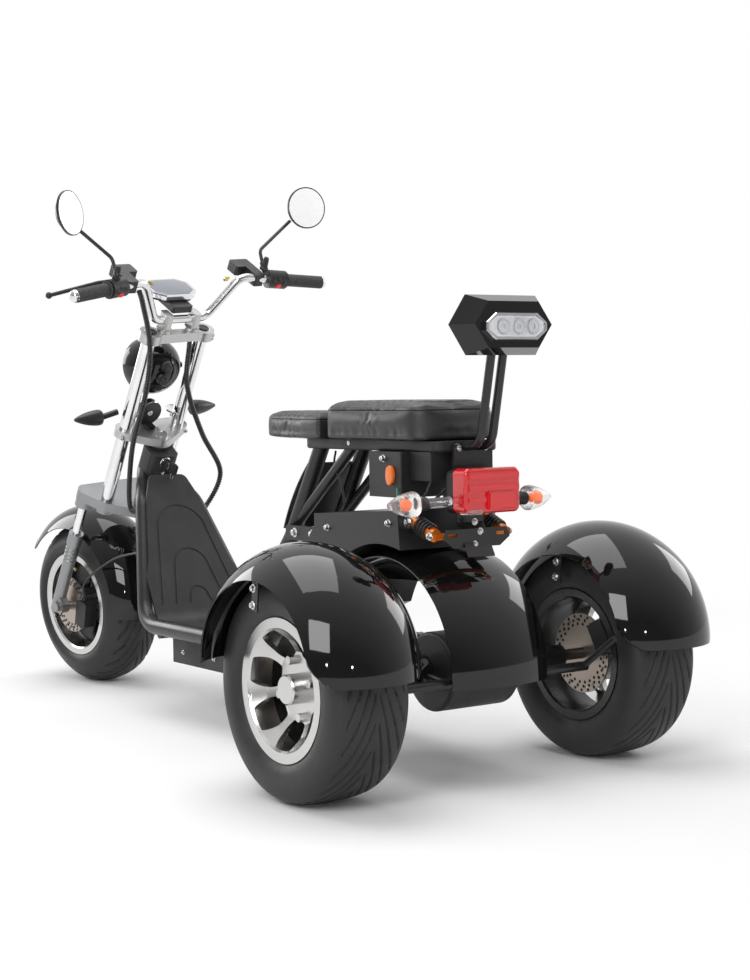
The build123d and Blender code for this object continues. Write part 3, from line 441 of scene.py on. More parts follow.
def ring(mesh, centre, axis, radius, sides):
    """A ring of points round an axis, closed on itself."""
    axis = Vector(axis).normalized()
    first = Vector((0, 0, 1)).cross(axis)
    if first.length < 1e-4:
        first = Vector((1, 0, 0)).cross(axis)
    first.normalize()
    second = axis.cross(first)
    turns = (2 * math.pi * k / sides for k in range(sides))
    return [mesh.verts.new(centre + (first * math.cos(t) + second * math.sin(t)) * radius) for t in turns]


def skin(mesh, loops):
    """Faces between rings in turn, with the two ends closed."""
    for one, two in zip(loops, loops[1:]):
        for k in range(len(one)):
            mesh.faces.new((one[k], one[(k + 1) % len(one)], two[(k + 1) % len(one)], two[k]))
    mesh.faces.new(list(reversed(loops[0])))
    mesh.faces.new(loops[-1])


def turned(mesh, centre, axis, profile, sides=32):
    """A turned part: (along, radius) pairs in millimetres down an axis, in metres in the mesh."""
    axis = Vector(axis).normalized()
    loops = [
        ring(mesh, centre + axis * (along / 1000), axis, radius / 1000, sides)
        for along, radius in profile
    ]
    skin(mesh, loops)


def block(mesh, corner, along, across, deep):
    """A flat bar or plate from a corner and its three edges, with its edges eased."""
    along, across, deep = Vector(along), Vector(across), Vector(deep)
    ends = [(i, j, k) for i in (0, 1) for j in (0, 1) for k in (0, 1)]
    verts = [mesh.verts.new(corner + along * i + across * j + deep * k) for i, j, k in ends]
    faces = [(0, 1, 3, 2), (4, 6, 7, 5), (0, 4, 5, 1), (2, 3, 7, 6), (0, 2, 6, 4), (1, 5, 7, 3)]
    new = [mesh.faces.new([verts[k] for k in face]) for face in faces]
    edges = {edge for face in new for edge in face.edges}
    ease = min(along.length, across.length, deep.length) * 0.22
    bmesh.ops.bevel(mesh, geom=list(edges), offset=ease, segments=2, affect="EDGES")


def lathe(name, parts, material, body, crease=35.0):
    """Turned parts as one piece: each has a centre, an axis, a profile and perhaps a count of sides."""
    mesh = bmesh.new()
    for part in parts:
        turned(mesh, *part)
    shape(name, mesh, material, body, crease)


chrome = finish(
    "chrome", (0.83, 0.83, 0.84), 0.06, metallic=1.0, grain_scale=300, bump=0.01, dusty=0.02, scuffed=0.1,
)
back = -straight_ahead.normalized()
lathe("ignition_lock", [
    (on_head(-50, 0, 496), back, [(0, 15), (4, 15), (6, 13.5), (7, 11), (6, 10.5), (6, 4)]),
    (on_head(-55, 0, 466), back, [(0, 5), (1.5, 5), (2, 3), (1, 2.4)]),
], chrome, "frame")
keys = bmesh.new()
down = -column.normalized()
aside = Vector((0, 1, 0))
block(keys, on_head(-74, 1, 505), aside * -0.002, down * 0.018, back * -0.020)
for hang, drop in ((-8, 34), (-1, 30)):
    start = on_head(-80, hang - 5, 488)
    block(keys, start, aside * 0.002, down * (drop / 1000), back * 0.007)
    for notch in (10, 15, 20, 24):
        block(keys, start + down * (notch / 1000) + back * 0.007, aside * 0.002, down * 0.002, back * 0.002)
shape("keys", keys, zinc, "frame")
key_heads = bmesh.new()
for hang, width in ((-8, 16), (-1, 18)):
    block(key_heads, on_head(-84, hang - 6, 512), aside * 0.005, down * 0.026, back * (width / 1000))
block(key_heads, on_head(-88, -1, 522), aside * 0.006, down * 0.020, back * 0.016)
key_rubber = finish("key_rubber", (0.014, 0.014, 0.015), 0.4, grain_scale=1200, bump=0.1)
shape("key_heads", key_heads, key_rubber, "frame")

# Rear drive: a cast motor case on the axle, two short orange shock absorbers with steel springs, and
# a caliper on each rear disc.
motor_grey = finish(
    "motor_grey", (0.035, 0.035, 0.038), 0.45, metallic=0.5, grain_scale=300, bump=0.3, dusty=0.25,
)
dress(motor_grey, "drive_motor")
shock_orange = finish("shock_orange", (0.75, 0.19, 0.015), 0.3, metallic=0.55, grain_scale=700, bump=0.06)
dress(shock_orange, "rear_shocks")


def helix(centre, axis, radius, height, coils):
    """Points of a coil spring, in metres."""
    points = 20
    axis = axis.normalized()
    first = axis.orthogonal().normalized()
    second = axis.cross(first)
    total = int(coils * points)
    for k in range(total + 1):
        t = 2 * math.pi * k / points
        yield centre + axis * height * k / total + (first * math.cos(t) + second * math.sin(t)) * radius


# Ribbed tube: a round tube along a seed path whose radius rises and falls at an even pitch
ribbed, ribbed_in, ribbed_out = geometry_tree("ribbed_tube", Radius=0.007, Rib=0.12, Pitch=0.006, Steps=6.0)
path = put(ribbed, "GeometryNodeMeshToCurve", ("Mesh", ribbed_in["Geometry"]))
step_length = reckon(ribbed, "DIVIDE", ribbed_in["Pitch"], ribbed_in["Steps"])
even = put(
    ribbed, "GeometryNodeResampleCurve", ("Curve", path.outputs[0]), ("Length", step_length), mode="LENGTH",
)
along = put(ribbed, "GeometryNodeSplineParameter").outputs["Length"]
wave = reckon(
    ribbed, "SINE",
    reckon(ribbed, "MULTIPLY", reckon(ribbed, "DIVIDE", along, ribbed_in["Pitch"]), 2 * math.pi),
)
swell = reckon(ribbed, "ADD", reckon(ribbed, "MULTIPLY", wave, ribbed_in["Rib"]), 1.0)
rib_radius = reckon(ribbed, "MULTIPLY", swell, ribbed_in["Radius"])
round_section = put(ribbed, "GeometryNodeCurvePrimitiveCircle", ("Resolution", 14), ("Radius", 1.0))
ribbed_mesh = put(
    ribbed, "GeometryNodeCurveToMesh", ("Curve", even.outputs[0]),
    ("Profile Curve", round_section.outputs[0]), ("Fill Caps", True),
)
wire(ribbed, rib_radius, ribbed_mesh.inputs["Scale"])
close_tree(ribbed, ribbed_in, ribbed_out, ribbed_mesh.outputs[0])


def add_path(seed, places):
    """A run of edges through places."""
    verts = [seed.verts.new(place) for place in places]
    for one, two in zip(verts, verts[1:]):
        seed.edges.new((one, two))


def between(a, b, c, d, t):
    """A place on a smooth curve from b to c, which heads on from a and towards d."""
    return (2 * b + (c - a) * t + (2 * a - 5 * b + 4 * c - d) * t**2 + (3 * b - a - 3 * c + d) * t**3) / 2


def strand(*paths):
    """Seed paths for tubes: each a run of places, rounded into one smooth line."""
    seed = bmesh.new()
    for places in paths:
        places = [Vector(place) for place in places]
        ends = [places[0] * 2 - places[1], *places, places[-1] * 2 - places[-2]]
        steps = 12
        runs = zip(ends, ends[1:], ends[2:], ends[3:])
        line = [between(*four, k / steps) for four in runs for k in range(steps)]
        add_path(seed, [*line, places[-1]])
    return seed


def plain_strand(*paths):
    """Seed paths for tubes that run straight from place to place."""
    seed = bmesh.new()
    for places in paths:
        add_path(seed, places)
    return seed


spring_steel = finish("spring_steel", (0.014, 0.014, 0.015), 0.3, grain_scale=900, bump=0.05)
springs = []
for hand in (1, -1):
    lie = on_frame(-26, hand * 88, 506) - on_frame(41, hand * 92, 531)
    springs.append(helix(on_frame(26, hand * 91, 525), lie, 0.0165, 0.042, 4.5))
grow(
    "shock_springs", plain_strand(*springs), ribbed, spring_steel, "frame", Radius=0.0032, Rib=0.0,
    Pitch=0.006, Steps=2,
)
cast_black = finish(
    "cast_black", (0.02, 0.02, 0.021), 0.38, metallic=0.4, grain_scale=350, bump=0.35, dusty=0.2,
)
dress(cast_black, "rear_calipers", "front_caliper")
shock_bolts = [(on_frame(41, hand * 107, 531), (0, hand, 0), 0.009) for hand in (1, -1)]
shock_bolts += [(on_frame(-26, hand * 102, 506), (0, hand, 0), 0.006) for hand in (1, -1)]
fasten("shock_bolts", shock_bolts, zinc)

# Rear case and electrics boxes under the saddle: folded black sheet, with an amber reflector on
# each side and loose wires below.
case_black = finish("case_black", (0.011, 0.011, 0.012), 0.34, grain_scale=500, bump=0.1, dusty=0.2)
dress(case_black, "rear_case")
case_bolts = []
for hand in (1, -1):
    case_bolts += [(on_frame(x, hand * 128, z), (0, hand, 0), 0.0062) for x, z in ((309, 508), (81, 529))]
    case_bolts.append((on_frame(128, hand * 105, 661), (0, hand, 0), 0.0065))
fasten("case_bolts", case_bolts, zinc, Washer=1.2, Dome=0.7)
amber = finish("amber", (0.82, 0.17, 0.012), 0.12, grain_scale=420, bump=0.9, dusty=0.02, Coat_Weight=0.6)
for hand, side in ((1, "left"), (-1, "right")):
    reflector = bmesh.new()
    loops = []
    for out, width, height in ((0, 25, 42), (5, 25, 42), (7.5, 22.5, 39.5), (8.2, 12, 22), (8.4, 3, 5)):
        centre = on_frame(101, hand * (105 + out), 626)
        spots = [
            Vector((math.cos(t) * width / 2000 * 0.98, 0, math.sin(t) * height / 2000))
            for t in (2 * math.pi * k / 40 for k in range(40))
        ]
        loops.append([reflector.verts.new(centre + spot) for spot in spots])
    skin(reflector, loops)
    shape(f"{side}_reflector", reflector, amber, "frame", crease=25)
wire_green = finish("wire_green", (0.01, 0.25, 0.17), 0.35, grain_scale=900)
wire_black = finish("wire_black", (0.012, 0.012, 0.012), 0.35, grain_scale=900)
green_routes = [[(78, 107, 600), (70, 112, 584), (58, 110, 574), (40, 96, 573)]]
loose_routes = [
    [(72, 90, 582), (58, 96, 560), (36, 92, 566), (12, 84, 588), (4, 74, 618)],
    [(80, 60, 582), (50, 72, 556), (20, 66, 562), (-10, 60, 590)],
    [(66, 88, 590), (44, 84, 572), (10, 70, 574), (-14, 52, 600)],
    [(404, 40, 668), (380, 60, 640), (350, 64, 600), (345, 58, 556)],
]
for name, routes, colour, thick, pitch in (
    ("green_wire", green_routes, wire_green, 0.0016, 0.004),
    ("loose_wires", loose_routes, wire_black, 0.0024, 0.005),
):
    lines = strand(*[[on_frame(*place) for place in route] for route in routes])
    grow(name, lines, ribbed, colour, "frame", Radius=thick, Rib=0.0, Pitch=pitch, Steps=1)

# Saddles: two foam pads in black leatherette on the seat pan. The tops are sewn in cross channels
# and piped round the edge, and the skirts are drawn down over the foam.
leather = finish(
    "leatherette", (0.019, 0.019, 0.020), 0.36, grain_scale=1100, bump=0.3, dusty=0.04, scuffed=0.1,
)
weave = leather.node_tree
hide_place = put(weave, "ShaderNodeTexCoord").outputs["Object"]
hide = put(
    weave, "ShaderNodeTexVoronoi", ("Scale", 620), ("Vector", hide_place), feature="DISTANCE_TO_EDGE",
)


def add_bump(tree, height, strength, distance):
    """A second bump on a finish, over the one of its grain."""
    shader = tree.nodes["Principled BSDF"]
    under = shader.inputs["Normal"].links[0].from_socket
    over = put(
        tree, "ShaderNodeBump", ("Strength", strength), ("Distance", distance), ("Height", height),
        ("Normal", under),
    )
    wire(tree, over.outputs[0], shader.inputs["Normal"])


add_bump(weave, hide.outputs["Distance"], 0.25, 0.0005)
piping_black = finish("piping_black", (0.012, 0.012, 0.013), 0.3, grain_scale=1500, bump=0.1)
thread_black = finish("thread_black", (0.03, 0.03, 0.032), 0.6, grain_scale=2500, bump=0.3)

stitches, stitches_in, stitches_out = geometry_tree("stitches", Pitch=0.006, Length=0.0042, Thick=0.0006)
stitch_path = put(stitches, "GeometryNodeMeshToCurve", ("Mesh", stitches_in["Geometry"]))
stitch_points = put(
    stitches, "GeometryNodeCurveToPoints", ("Curve", stitch_path.outputs[0]),
    ("Length", stitches_in["Pitch"]), mode="LENGTH",
)
stitch_one = put(
    stitches, "GeometryNodeMeshCylinder", ("Vertices", 6), ("Radius", stitches_in["Thick"]),
    ("Depth", stitches_in["Length"]),
)
stitches_laid = put(
    stitches, "GeometryNodeInstanceOnPoints", ("Points", stitch_points.outputs["Points"]),
    ("Instance", stitch_one.outputs[0]), ("Rotation", stitch_points.outputs["Rotation"]),
)
close_tree(stitches, stitches_in, stitches_out, stitches_laid.outputs[0])


def keep_baked(thing):
    """Puts an object's modifiers into its mesh, which it gives back."""
    mesh = baked(thing)
    thing.modifiers.clear()
    thing.data = mesh
    return mesh


def upholster(name, node, channel_pitch, first_channel, swell, seam_drop):
    """A saddle cut from its CAD solid: foam puffed under the cover, channels sewn across the top."""
    low, high = (Vector(corner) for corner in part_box(node))
    middle = (low + high) / 2
    pad = bmesh.new()
    pad.from_mesh(nodes[node].data)
    bmesh.ops.remove_doubles(pad, verts=pad.verts, dist=1e-5)
    for vert in pad.verts:
        vert.co = middle + (vert.co - middle) * Vector((0.985, 0.972, 0.96))
    data = bpy.data.meshes.new(name)
    pad.to_mesh(data)
    pad.free()
    saddle = in_scene(name, data)
    remesh = saddle.modifiers.new("foam", "REMESH")
    remesh.mode = "VOXEL"
    remesh.voxel_size = 0.006
    keep_baked(saddle)
    start = [vert.co.copy() for vert in saddle.data.vertices]
    scene = bpy.context.scene
    cover = saddle.modifiers.new("cover", "CLOTH")
    cover.settings.use_pressure = True
    cover.settings.uniform_pressure_force = 4
    cover.settings.effector_weights.gravity = 0
    cover.settings.tension_stiffness = 40
    cover.settings.bending_stiffness = 8
    cover.settings.quality = 2
    cover.point_cache.frame_start, cover.point_cache.frame_end = 1, 20
    for moment in range(1, 21):
        scene.frame_set(moment)
    keep_baked(saddle)
    scene.frame_set(1)
    for vert, before in zip(saddle.data.vertices, start):
        moved = vert.co - before
        if moved.length > swell:
            moved *= swell / moved.length
        vert.co = before + moved * (1 if before.z > low.z + 0.012 else 0.25)
    smooth = saddle.modifiers.new("smooth", "SUBSURF")
    smooth.levels = smooth.render_levels = 1
    fine = keep_baked(saddle)
    top = max(vert.co.z for vert in fine.vertices)
    normals = [vert.normal.copy() for vert in fine.vertices]
    for vert, normal in zip(fine.vertices, normals):
        lift = vert.co.z - (top - seam_drop)
        edge = min(1.0, max(0.0, lift / 0.010)) * min(1.0, max(0.0, (normal.z - 0.35) / 0.4))
        half = (high.y - low.y) / 2
        bow = 0.020 * (1 - (vert.co.y / half) ** 2)
        place = (vert.co.x - low.x - first_channel + bow) / channel_pitch
        gap = abs(place - round(place)) * channel_pitch
        sewn = math.exp(-((gap / 0.0032) ** 2)) * 0.0042 - 0.0008 * math.cos(2 * math.pi * place)
        vert.co.z -= sewn * edge
        skirt = math.exp(-((lift / 0.0025) ** 2)) * 0.0018
        vert.co -= normal * skirt
    fine.materials.clear()
    fine.materials.append(leather)
    fine.shade_smooth()
    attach(saddle, "frame")
    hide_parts(node)
    seam = bmesh.new()
    seam.from_mesh(fine)
    bmesh.ops.bisect_plane(
        seam, geom=[*seam.verts, *seam.edges, *seam.faces], plane_co=(0, 0, top - seam_drop),
        plane_no=(0, 0, 1), clear_inner=True, clear_outer=True,
    )
    bmesh.ops.delete(seam, geom=list(seam.faces), context="FACES_ONLY")
    for vert in seam.verts:
        out = (vert.co - middle) * Vector((1, 1, 0))
        vert.co += out.normalized() * 0.0004
    thread = seam.copy()
    grow(
        f"{name}_piping", seam, ribbed, piping_black, "frame", Radius=0.0021, Rib=0.0, Pitch=0.004, Steps=1,
    )
    for vert in thread.verts:
        out = ((vert.co - middle) * Vector((1, 1, 0))).normalized()
        vert.co += out * 0.0010 - Vector((0, 0, 0.0065))
    grow(f"{name}_stitching", thread, stitches, thread_black, "frame")


upholster("rear_cushion", "rear_saddle", 0.031, 0.052, 0.007, 0.019)
upholster("front_cushion", "front_saddle", 0.030, 0.030, 0.007, 0.016)

# Backrest: a faceted gloss black shell on two bent posts. A lamp with a silver rim is let into its
# back, with a clear fluted lens over a bright reflector.
gloss_black = finish(
    "gloss_black", (0.0045, 0.0045, 0.0048), 0.045, grain_scale=45, bump=0.003, dusty=0.012, scuffed=0.04
)
dress(
    gloss_black, "left_rear_guard", "right_rear_guard", "centre_rear_guard", "front_guard",
    "backrest_shell",
)
clear_lens = finish(
    "clear_lens", (0.93, 0.94, 0.96), 0.05, grain_scale=220, bump=0.35, dusty=0.0, Transmission_Weight=0.85,
    IOR=1.45,
)
silver_rim = finish("silver_rim", (0.78, 0.78, 0.8), 0.16, metallic=1.0, grain_scale=500, bump=0.02)
lamp_low, lamp_high = (Vector(corner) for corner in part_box("backrest_lamp"))
lamp_middle = (lamp_low + lamp_high) / 2


def octagon_loop(mesh, x, half_width, half_height, corner):
    """A flat octagon ring that stands across the scooter."""
    side, flat = half_width - corner, 0.3 * half_height
    outline = [
        (half_width, flat), (side, half_height), (-side, half_height), (-half_width, flat),
        (-half_width, -flat), (-side, -half_height), (side, -half_height), (half_width, -flat),
    ]
    return [mesh.verts.new((x, lamp_middle.y + y, lamp_middle.z + z)) for y, z in outline]


rim = bmesh.new()
back_x = lamp_low.x
skin(rim, [
    octagon_loop(rim, lamp_high.x + 0.002, 0.077, 0.027, 0.024),
    octagon_loop(rim, back_x - 0.001, 0.077, 0.027, 0.024),
    octagon_loop(rim, back_x - 0.0035, 0.0755, 0.0255, 0.0235),
    octagon_loop(rim, back_x - 0.0035, 0.0715, 0.0215, 0.022),
    octagon_loop(rim, back_x + 0.004, 0.0705, 0.0205, 0.0215),
])
shape("backrest_lamp_rim", rim, silver_rim, "frame", crease=20)
dress(silver_rim, "backrest_lamp")
flutes = bmesh.new()
rows = []
for k in range(61):
    y = -0.070 + 0.140 * k / 60
    ease = 0.0205 - max(0.0, abs(y) - 0.049) * 0.62
    bulge = 0.0022 * (1 - (y / 0.075) ** 2) + 0.0006 * math.cos(k * math.pi / 1.5)
    rows.append([
        flutes.verts.new(
            (back_x - 0.0012 - bulge * (1 - (s * s) * 0.6), lamp_middle.y + y, lamp_middle.z + s * ease)
        )
        for s in (-1, -0.6, -0.2, 0.2, 0.6, 1)
    ])
for one, two in zip(rows, rows[1:]):
    for k in range(5):
        flutes.faces.new((one[k], one[k + 1], two[k + 1], two[k]))
extruded = bmesh.ops.extrude_face_region(flutes, geom=list(flutes.faces))
moved = [part for part in extruded["geom"] if isinstance(part, bmesh.types.BMVert)]
bmesh.ops.translate(flutes, vec=(0.0022, 0, 0), verts=moved)
# The extrusion leaves its corners and faces in no fixed order, so each gets a rank of its own
rank = Vector((1, 7.3, 53.1))
flutes.verts.sort(key=lambda corner: corner.co.dot(rank))
flutes.faces.sort(key=lambda face: face.calc_center_median().dot(rank))
shape("backrest_lamp_lens", flutes, clear_lens, "frame", crease=60)
bulb_glass = finish("bulb_glass", (0.62, 0.66, 0.72), 0.1, metallic=0.8, grain_scale=150, bump=0.4)
cup = [(0, 17), (1.6, 16.5), (0.6, 13), (0.2, 6), (1.4, 4), (1.7, 1)]
lathe("backrest_lamp_cups", [
    (Vector((back_x + 0.0005, y, lamp_middle.z)), (-1, 0, 0), cup, 24) for y in (0.034, -0.006, -0.042)
], bulb_glass, "frame", crease=30)
backrest_bolts = [(on_frame(-33, 34 * hand, 683), (-1, 0, 0), 0.0068) for hand in (1, -1)]
fasten("backrest_bolts", backrest_bolts, zinc, Washer=1.5, Dome=0.5)

# Tail lamp: a deep red ribbed lens with a clear number-plate window at its lower left, on a black
# rubber-edged base. The rear indicators are clear bullets with orange bulbs, on black stalks.
base_rubber = finish("base_rubber", (0.013, 0.013, 0.014), 0.45, grain_scale=800, bump=0.12, dusty=0.1)
dress(base_rubber, "tail_lamp_base")
tail_low, tail_high = (Vector(corner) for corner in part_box("tail_lamp_lens"))
red_lens = finish(
    "red_lens", (0.66, 0.006, 0.010), 0.07, grain_scale=260, bump=0.5, dusty=0.0, Coat_Weight=0.8,
    Transmission_Weight=0.25, Emission_Strength=0.10, Emission_Color=(0.7, 0.0, 0.01, 1),
)
dress(red_lens, "tail_lamp_lens")
tail_middle = (tail_low + tail_high) / 2
ribs = bmesh.new()
for z, deep, tall in ((0.030, 0.0045, 0.014), (0.006, 0.0045, 0.014), (-0.018, 0.0035, 0.012)):
    block(
        ribs, Vector((tail_low.x - deep + 0.001, tail_middle.y - 0.066, tail_middle.z + z - tall / 2)),
        (deep + 0.004, 0, 0), (0, 0.132, 0), (0, 0, tall),
    )
block(
    ribs, Vector((tail_low.x - 0.0085, tail_middle.y - 0.052, tail_middle.z - 0.038)),
    (0.012, 0, 0), (0, 0.070, 0), (0, 0, 0.036),
)
shape("tail_lamp_ribs", ribs, red_lens, "frame", crease=40)
window = bmesh.new()
block(
    window, Vector((tail_low.x - 0.0022, tail_middle.y + 0.026, tail_low.z - 0.0015)),
    (0.034, 0, 0), (0, 0.040, 0), (0, 0, 0.013),
)
shape("plate_lamp_window", window, clear_lens, "frame", crease=40)
indicator_clear = finish(
    "indicator_clear", (0.90, 0.90, 0.91), 0.05, grain_scale=170, bump=1.0, dusty=0.0,
    Transmission_Weight=0.9, IOR=1.3,
)
dress(indicator_clear, "rear_indicators")
orange_bulb = finish(
    "orange_bulb", (0.95, 0.16, 0.02), 0.15, grain_scale=200, bump=0.1, Emission_Strength=0.35,
    Emission_Color=(1.0, 0.13, 0.01, 1),
)
bulb = [(0, 6), (4, 9), (12, 10), (19, 8), (23, 3)]
lathe("indicator_bulbs", [
    (on_frame(-34, hand * 158, 573), (0, hand, 0), bulb, 20) for hand in (1, -1)
], orange_bulb, "frame")
stalk_rib = [(0, 12.5), (1.5, 14), (3.5, 14), (5.5, 12.5)]
lathe("indicator_stalk_ribs", [
    (on_frame(-34, hand * (116 + 5.5 * k), 573), (0, hand, 0), stalk_rib, 24)
    for hand in (1, -1) for k in range(5)
], base_rubber, "frame")
bracket_bolts = [(on_frame(-51, y, z), (-1, 0, 0), 0.005) for y, z in ((6, 532), (-8, 512), (6, 486))]
fasten("plate_bracket_bolts", bracket_bolts, zinc)

# Mudguards: three deep gloss black bowls over the rear wheels and motor, and one over the front
# wheel. Small two-bolt plates hold them inside and below.
plates = bmesh.new()
plate_bolts = []
for hand in (1, -1):
    for y in (496, 268):
        outward = 1 if y > 400 else -1
        corner = on_frame(2, hand * (y - (2 if outward > 0 else -2)), 380)
        block(
            plates, corner, (0.022, 0, 0.004), (0, hand * 0.003 * outward, 0), (-0.006, 0, 0.060),
        )
        for x, z in ((12, 427), (15, 394)):
            plate_bolts.append((on_frame(x, hand * (y + 2 * outward), z), (0, hand * outward, 0), 0.0058))
shape("guard_plates", plates, frame_black, "frame")
fasten("guard_plate_bolts", plate_bolts, zinc)
under = bmesh.new()
under_bolts = []
for hand in (1, -1):
    block(
        under, on_frame(-214, hand * 334, 262), (-0.003, 0, 0), (0, hand * 0.066, 0), (0.004, 0, -0.034),
    )
    under_bolts += [(on_frame(-217, hand * y, 244), (-1, 0, 0), 0.0052) for y in (349, 385)]
shape("guard_lower_plates", under, frame_black, "frame")
fasten("guard_lower_bolts", under_bolts, spring_steel)

# Wheels: a fat tubeless tyre on a polished cast rim of seven windows, with a steel brake disc. The
# tread is long curved grooves that sweep from the middle to the shoulders.
rubber = finish(
    "tyre_rubber", (0.0135, 0.0135, 0.0138), 0.5, grain_scale=800, bump=0.25, dusty=0.25, scuffed=0.15,
)
sidewall = rubber.node_tree
around = put(sidewall, "ShaderNodeAttribute", attribute_name="around").outputs["Fac"]
across = put(sidewall, "ShaderNodeAttribute", attribute_name="across").outputs["Fac"]
mark_phase = reckon(sidewall, "FRACT", reckon(sidewall, "MULTIPLY", around, 66.0))
mark = reckon(sidewall, "LESS_THAN", mark_phase, 0.09)
off_middle = reckon(sidewall, "ABSOLUTE", across)
shoulder = reckon(sidewall, "MULTIPLY", reckon(sidewall, "GREATER_THAN", off_middle, 0.083), mark)
hoop_line = reckon(
    sidewall, "LESS_THAN", reckon(sidewall, "ABSOLUTE", reckon(sidewall, "SUBTRACT", off_middle, 0.0795)),
    0.0007,
)
raised_marks = reckon(sidewall, "MAXIMUM", shoulder, hoop_line)
add_bump(sidewall, raised_marks, 0.6, 0.0008)

tread, tread_in, tread_out = geometry_tree("tread", Blocks=24.0, Depth=0.0038, Edge=0.066)
tread_around = layer(tread, "around")
tread_across = layer(tread, "across")
off_centre = reckon(tread, "ABSOLUTE", tread_across)
lean = reckon(
    tread, "SUBTRACT", reckon(tread, "MULTIPLY", off_centre, 64.0),
    reckon(tread, "MULTIPLY", reckon(tread, "POWER", off_centre, 2.0), 210.0),
)
block_phase = reckon(
    tread, "FRACT", reckon(tread, "ADD", reckon(tread, "MULTIPLY", tread_around, tread_in["Blocks"]), lean),
)
from_groove = reckon(tread, "ABSOLUTE", reckon(tread, "SUBTRACT", block_phase, 0.5))
groove = spread(tread, from_groove, 0.09, 0.15, 1.0, 0.0, "SMOOTHSTEP")
mid_rib = spread(tread, off_centre, 0.003, 0.006, kind="SMOOTHSTEP")
outer_rib = reckon(tread, "SUBTRACT", tread_in["Edge"], 0.004)
fade_out = spread(tread, off_centre, outer_rib, tread_in["Edge"], 1.0, 0.0, "SMOOTHSTEP")
cut_deep = reckon(tread, "MULTIPLY", reckon(tread, "MULTIPLY", groove, mid_rib), fade_out)
inward = reckon(tread, "MULTIPLY", reckon(tread, "MULTIPLY", cut_deep, tread_in["Depth"]), -1.0)
tread_normal = put(tread, "GeometryNodeInputNormal").outputs[0]
tread_push = put(
    tread, "ShaderNodeVectorMath", ("Vector", tread_normal), ("Scale", inward), operation="SCALE",
)
tread_moved = put(
    tread, "GeometryNodeSetPosition", ("Geometry", tread_in["Geometry"]), ("Offset", tread_push.outputs[0]),
)
close_tree(tread, tread_in, tread_out, tread_moved.outputs[0])


def smooth_line(points, step):
    """Places along a smooth line through (radius, across) points, as far apart as a rule gives."""
    ends = [points[0], *points, points[-1]]
    fine = 40
    line = [
        tuple(between(*four, k / fine) for four in zip(a, b, c, d))
        for a, b, c, d in zip(ends, ends[1:], ends[2:], ends[3:])
        for k in range(fine)
    ]
    line.append(points[-1])
    kept, gone = [line[0]], 0.0
    for one, two in zip(line, line[1:]):
        gone += math.dist(one, two)
        if gone >= step(two[1]):
            kept.append(two)
            gone = 0.0
    return [*kept[:-1], line[-1]]


def about_axle(wheel, node):
    """The axle's direction, two more square to it, and the middle of a node of the wheel."""
    axle = Vector(joints[f"{wheel}_wheel_spin"]["axis"]).normalized()
    first = axle.orthogonal().normalized()
    low, high = (Vector(corner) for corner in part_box(node))
    return axle, first, axle.cross(first), (low + high) / 2


def tyre(wheel, section, edge):
    """A tyre about its wheel's axle: a dense section turned round, with the tread cut in."""
    name = f"{wheel}_tyre"
    axle, first, second, hub = about_axle(wheel, name)
    points = [(r, -y) for r, y in section[:-1]] + section[::-1]
    line = smooth_line(points, lambda y: 1.25 if abs(y) < edge * 1000 + 2 else 3.5)
    seed = bmesh.new()
    around_layer = seed.verts.layers.float.new("around")
    across_layer = seed.verts.layers.float.new("across")
    count = 456
    loops = []
    for k in range(count):
        t = 2 * math.pi * k / count
        out = first * math.cos(t) + second * math.sin(t)
        row = []
        for r, y in line:
            vert = seed.verts.new(hub + out * (r / 1000) + axle * (y / 1000))
            vert[around_layer] = k / count
            vert[across_layer] = y / 1000
            row.append(vert)
        loops.append(row)
    for one, two in zip(loops, [*loops[1:], loops[0]]):
        for k in range(len(line) - 1):
            seed.faces.new((one[k], two[k], two[k + 1], one[k + 1]))
        seed.faces.new((one[-1], two[-1], two[0], one[0]))
    bmesh.ops.recalc_face_normals(seed, faces=seed.faces)
    piece = grow(f"{name}_treaded", seed, tread, rubber, f"{wheel}_wheel", crease=50, Edge=edge)
    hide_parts(name)


fat_section = [
    (140, 70), (149, 79), (160, 85), (172, 87.6), (184, 87.6), (195, 86), (206, 82), (214.5, 75), (220, 62),
    (223.6, 38), (225, 0),
]
round_section_front = [
    (140, 70), (149, 80), (160, 84), (171, 81.5), (180, 77), (191, 70.5), (202, 62), (209, 55), (215, 47),
    (222, 27), (225, 0),
]
for wheel, section, edge in (
    ("rear_left", fat_section, 0.066),
    ("rear_right", fat_section, 0.066),
    ("front", round_section_front, 0.064),
):
    tyre(wheel, section, edge)


def alloy(wheel, outer_side):
    """Polished face, and flat black, not metal, on the barrel and window walls behind it."""
    cast = finish(
        f"{wheel}_alloy", (0.60, 0.595, 0.585), 0.24, metallic=1.0, grain_scale=260, bump=0.05, dusty=0.02,
        scuffed=0.25,
    )
    tree = cast.node_tree
    axle, _, _, hub = about_axle(wheel, f"{wheel}_rim")
    axle *= outer_side
    place = put(tree, "ShaderNodeTexCoord").outputs["Object"]
    spot = point_math(tree, "SUBTRACT", place, hub)[0]
    depth = point_math(tree, "DOT_PRODUCT", spot, axle)["Value"]
    reach_out = point_math(tree, "LENGTH", spot)["Value"]
    # Flat black from 18 mm outboard of the rim's middle inwards, more than 50 mm from its centre.
    inner = reckon(tree, "LESS_THAN", depth, 0.018)
    black_zone = reckon(tree, "MULTIPLY", inner, reckon(tree, "GREATER_THAN", reach_out, 0.05))
    shader = tree.nodes["Principled BSDF"]
    under = shader.inputs["Base Color"].links[0].from_socket
    darkened_colour = put(
        tree, "ShaderNodeMix", ("B", (0.012, 0.012, 0.012, 1)), ("A", under), ("Factor", black_zone),
        data_type="RGBA",
    )
    wire(tree, darkened_colour.outputs["Result"], shader.inputs["Base Color"])
    wire(tree, reckon(tree, "SUBTRACT", 1.0, black_zone), shader.inputs["Metallic"])
    dress(cast, f"{wheel}_rim")


for wheel, outer_side in (("front", 1), ("rear_left", 1), ("rear_right", -1)):
    alloy(wheel, outer_side)

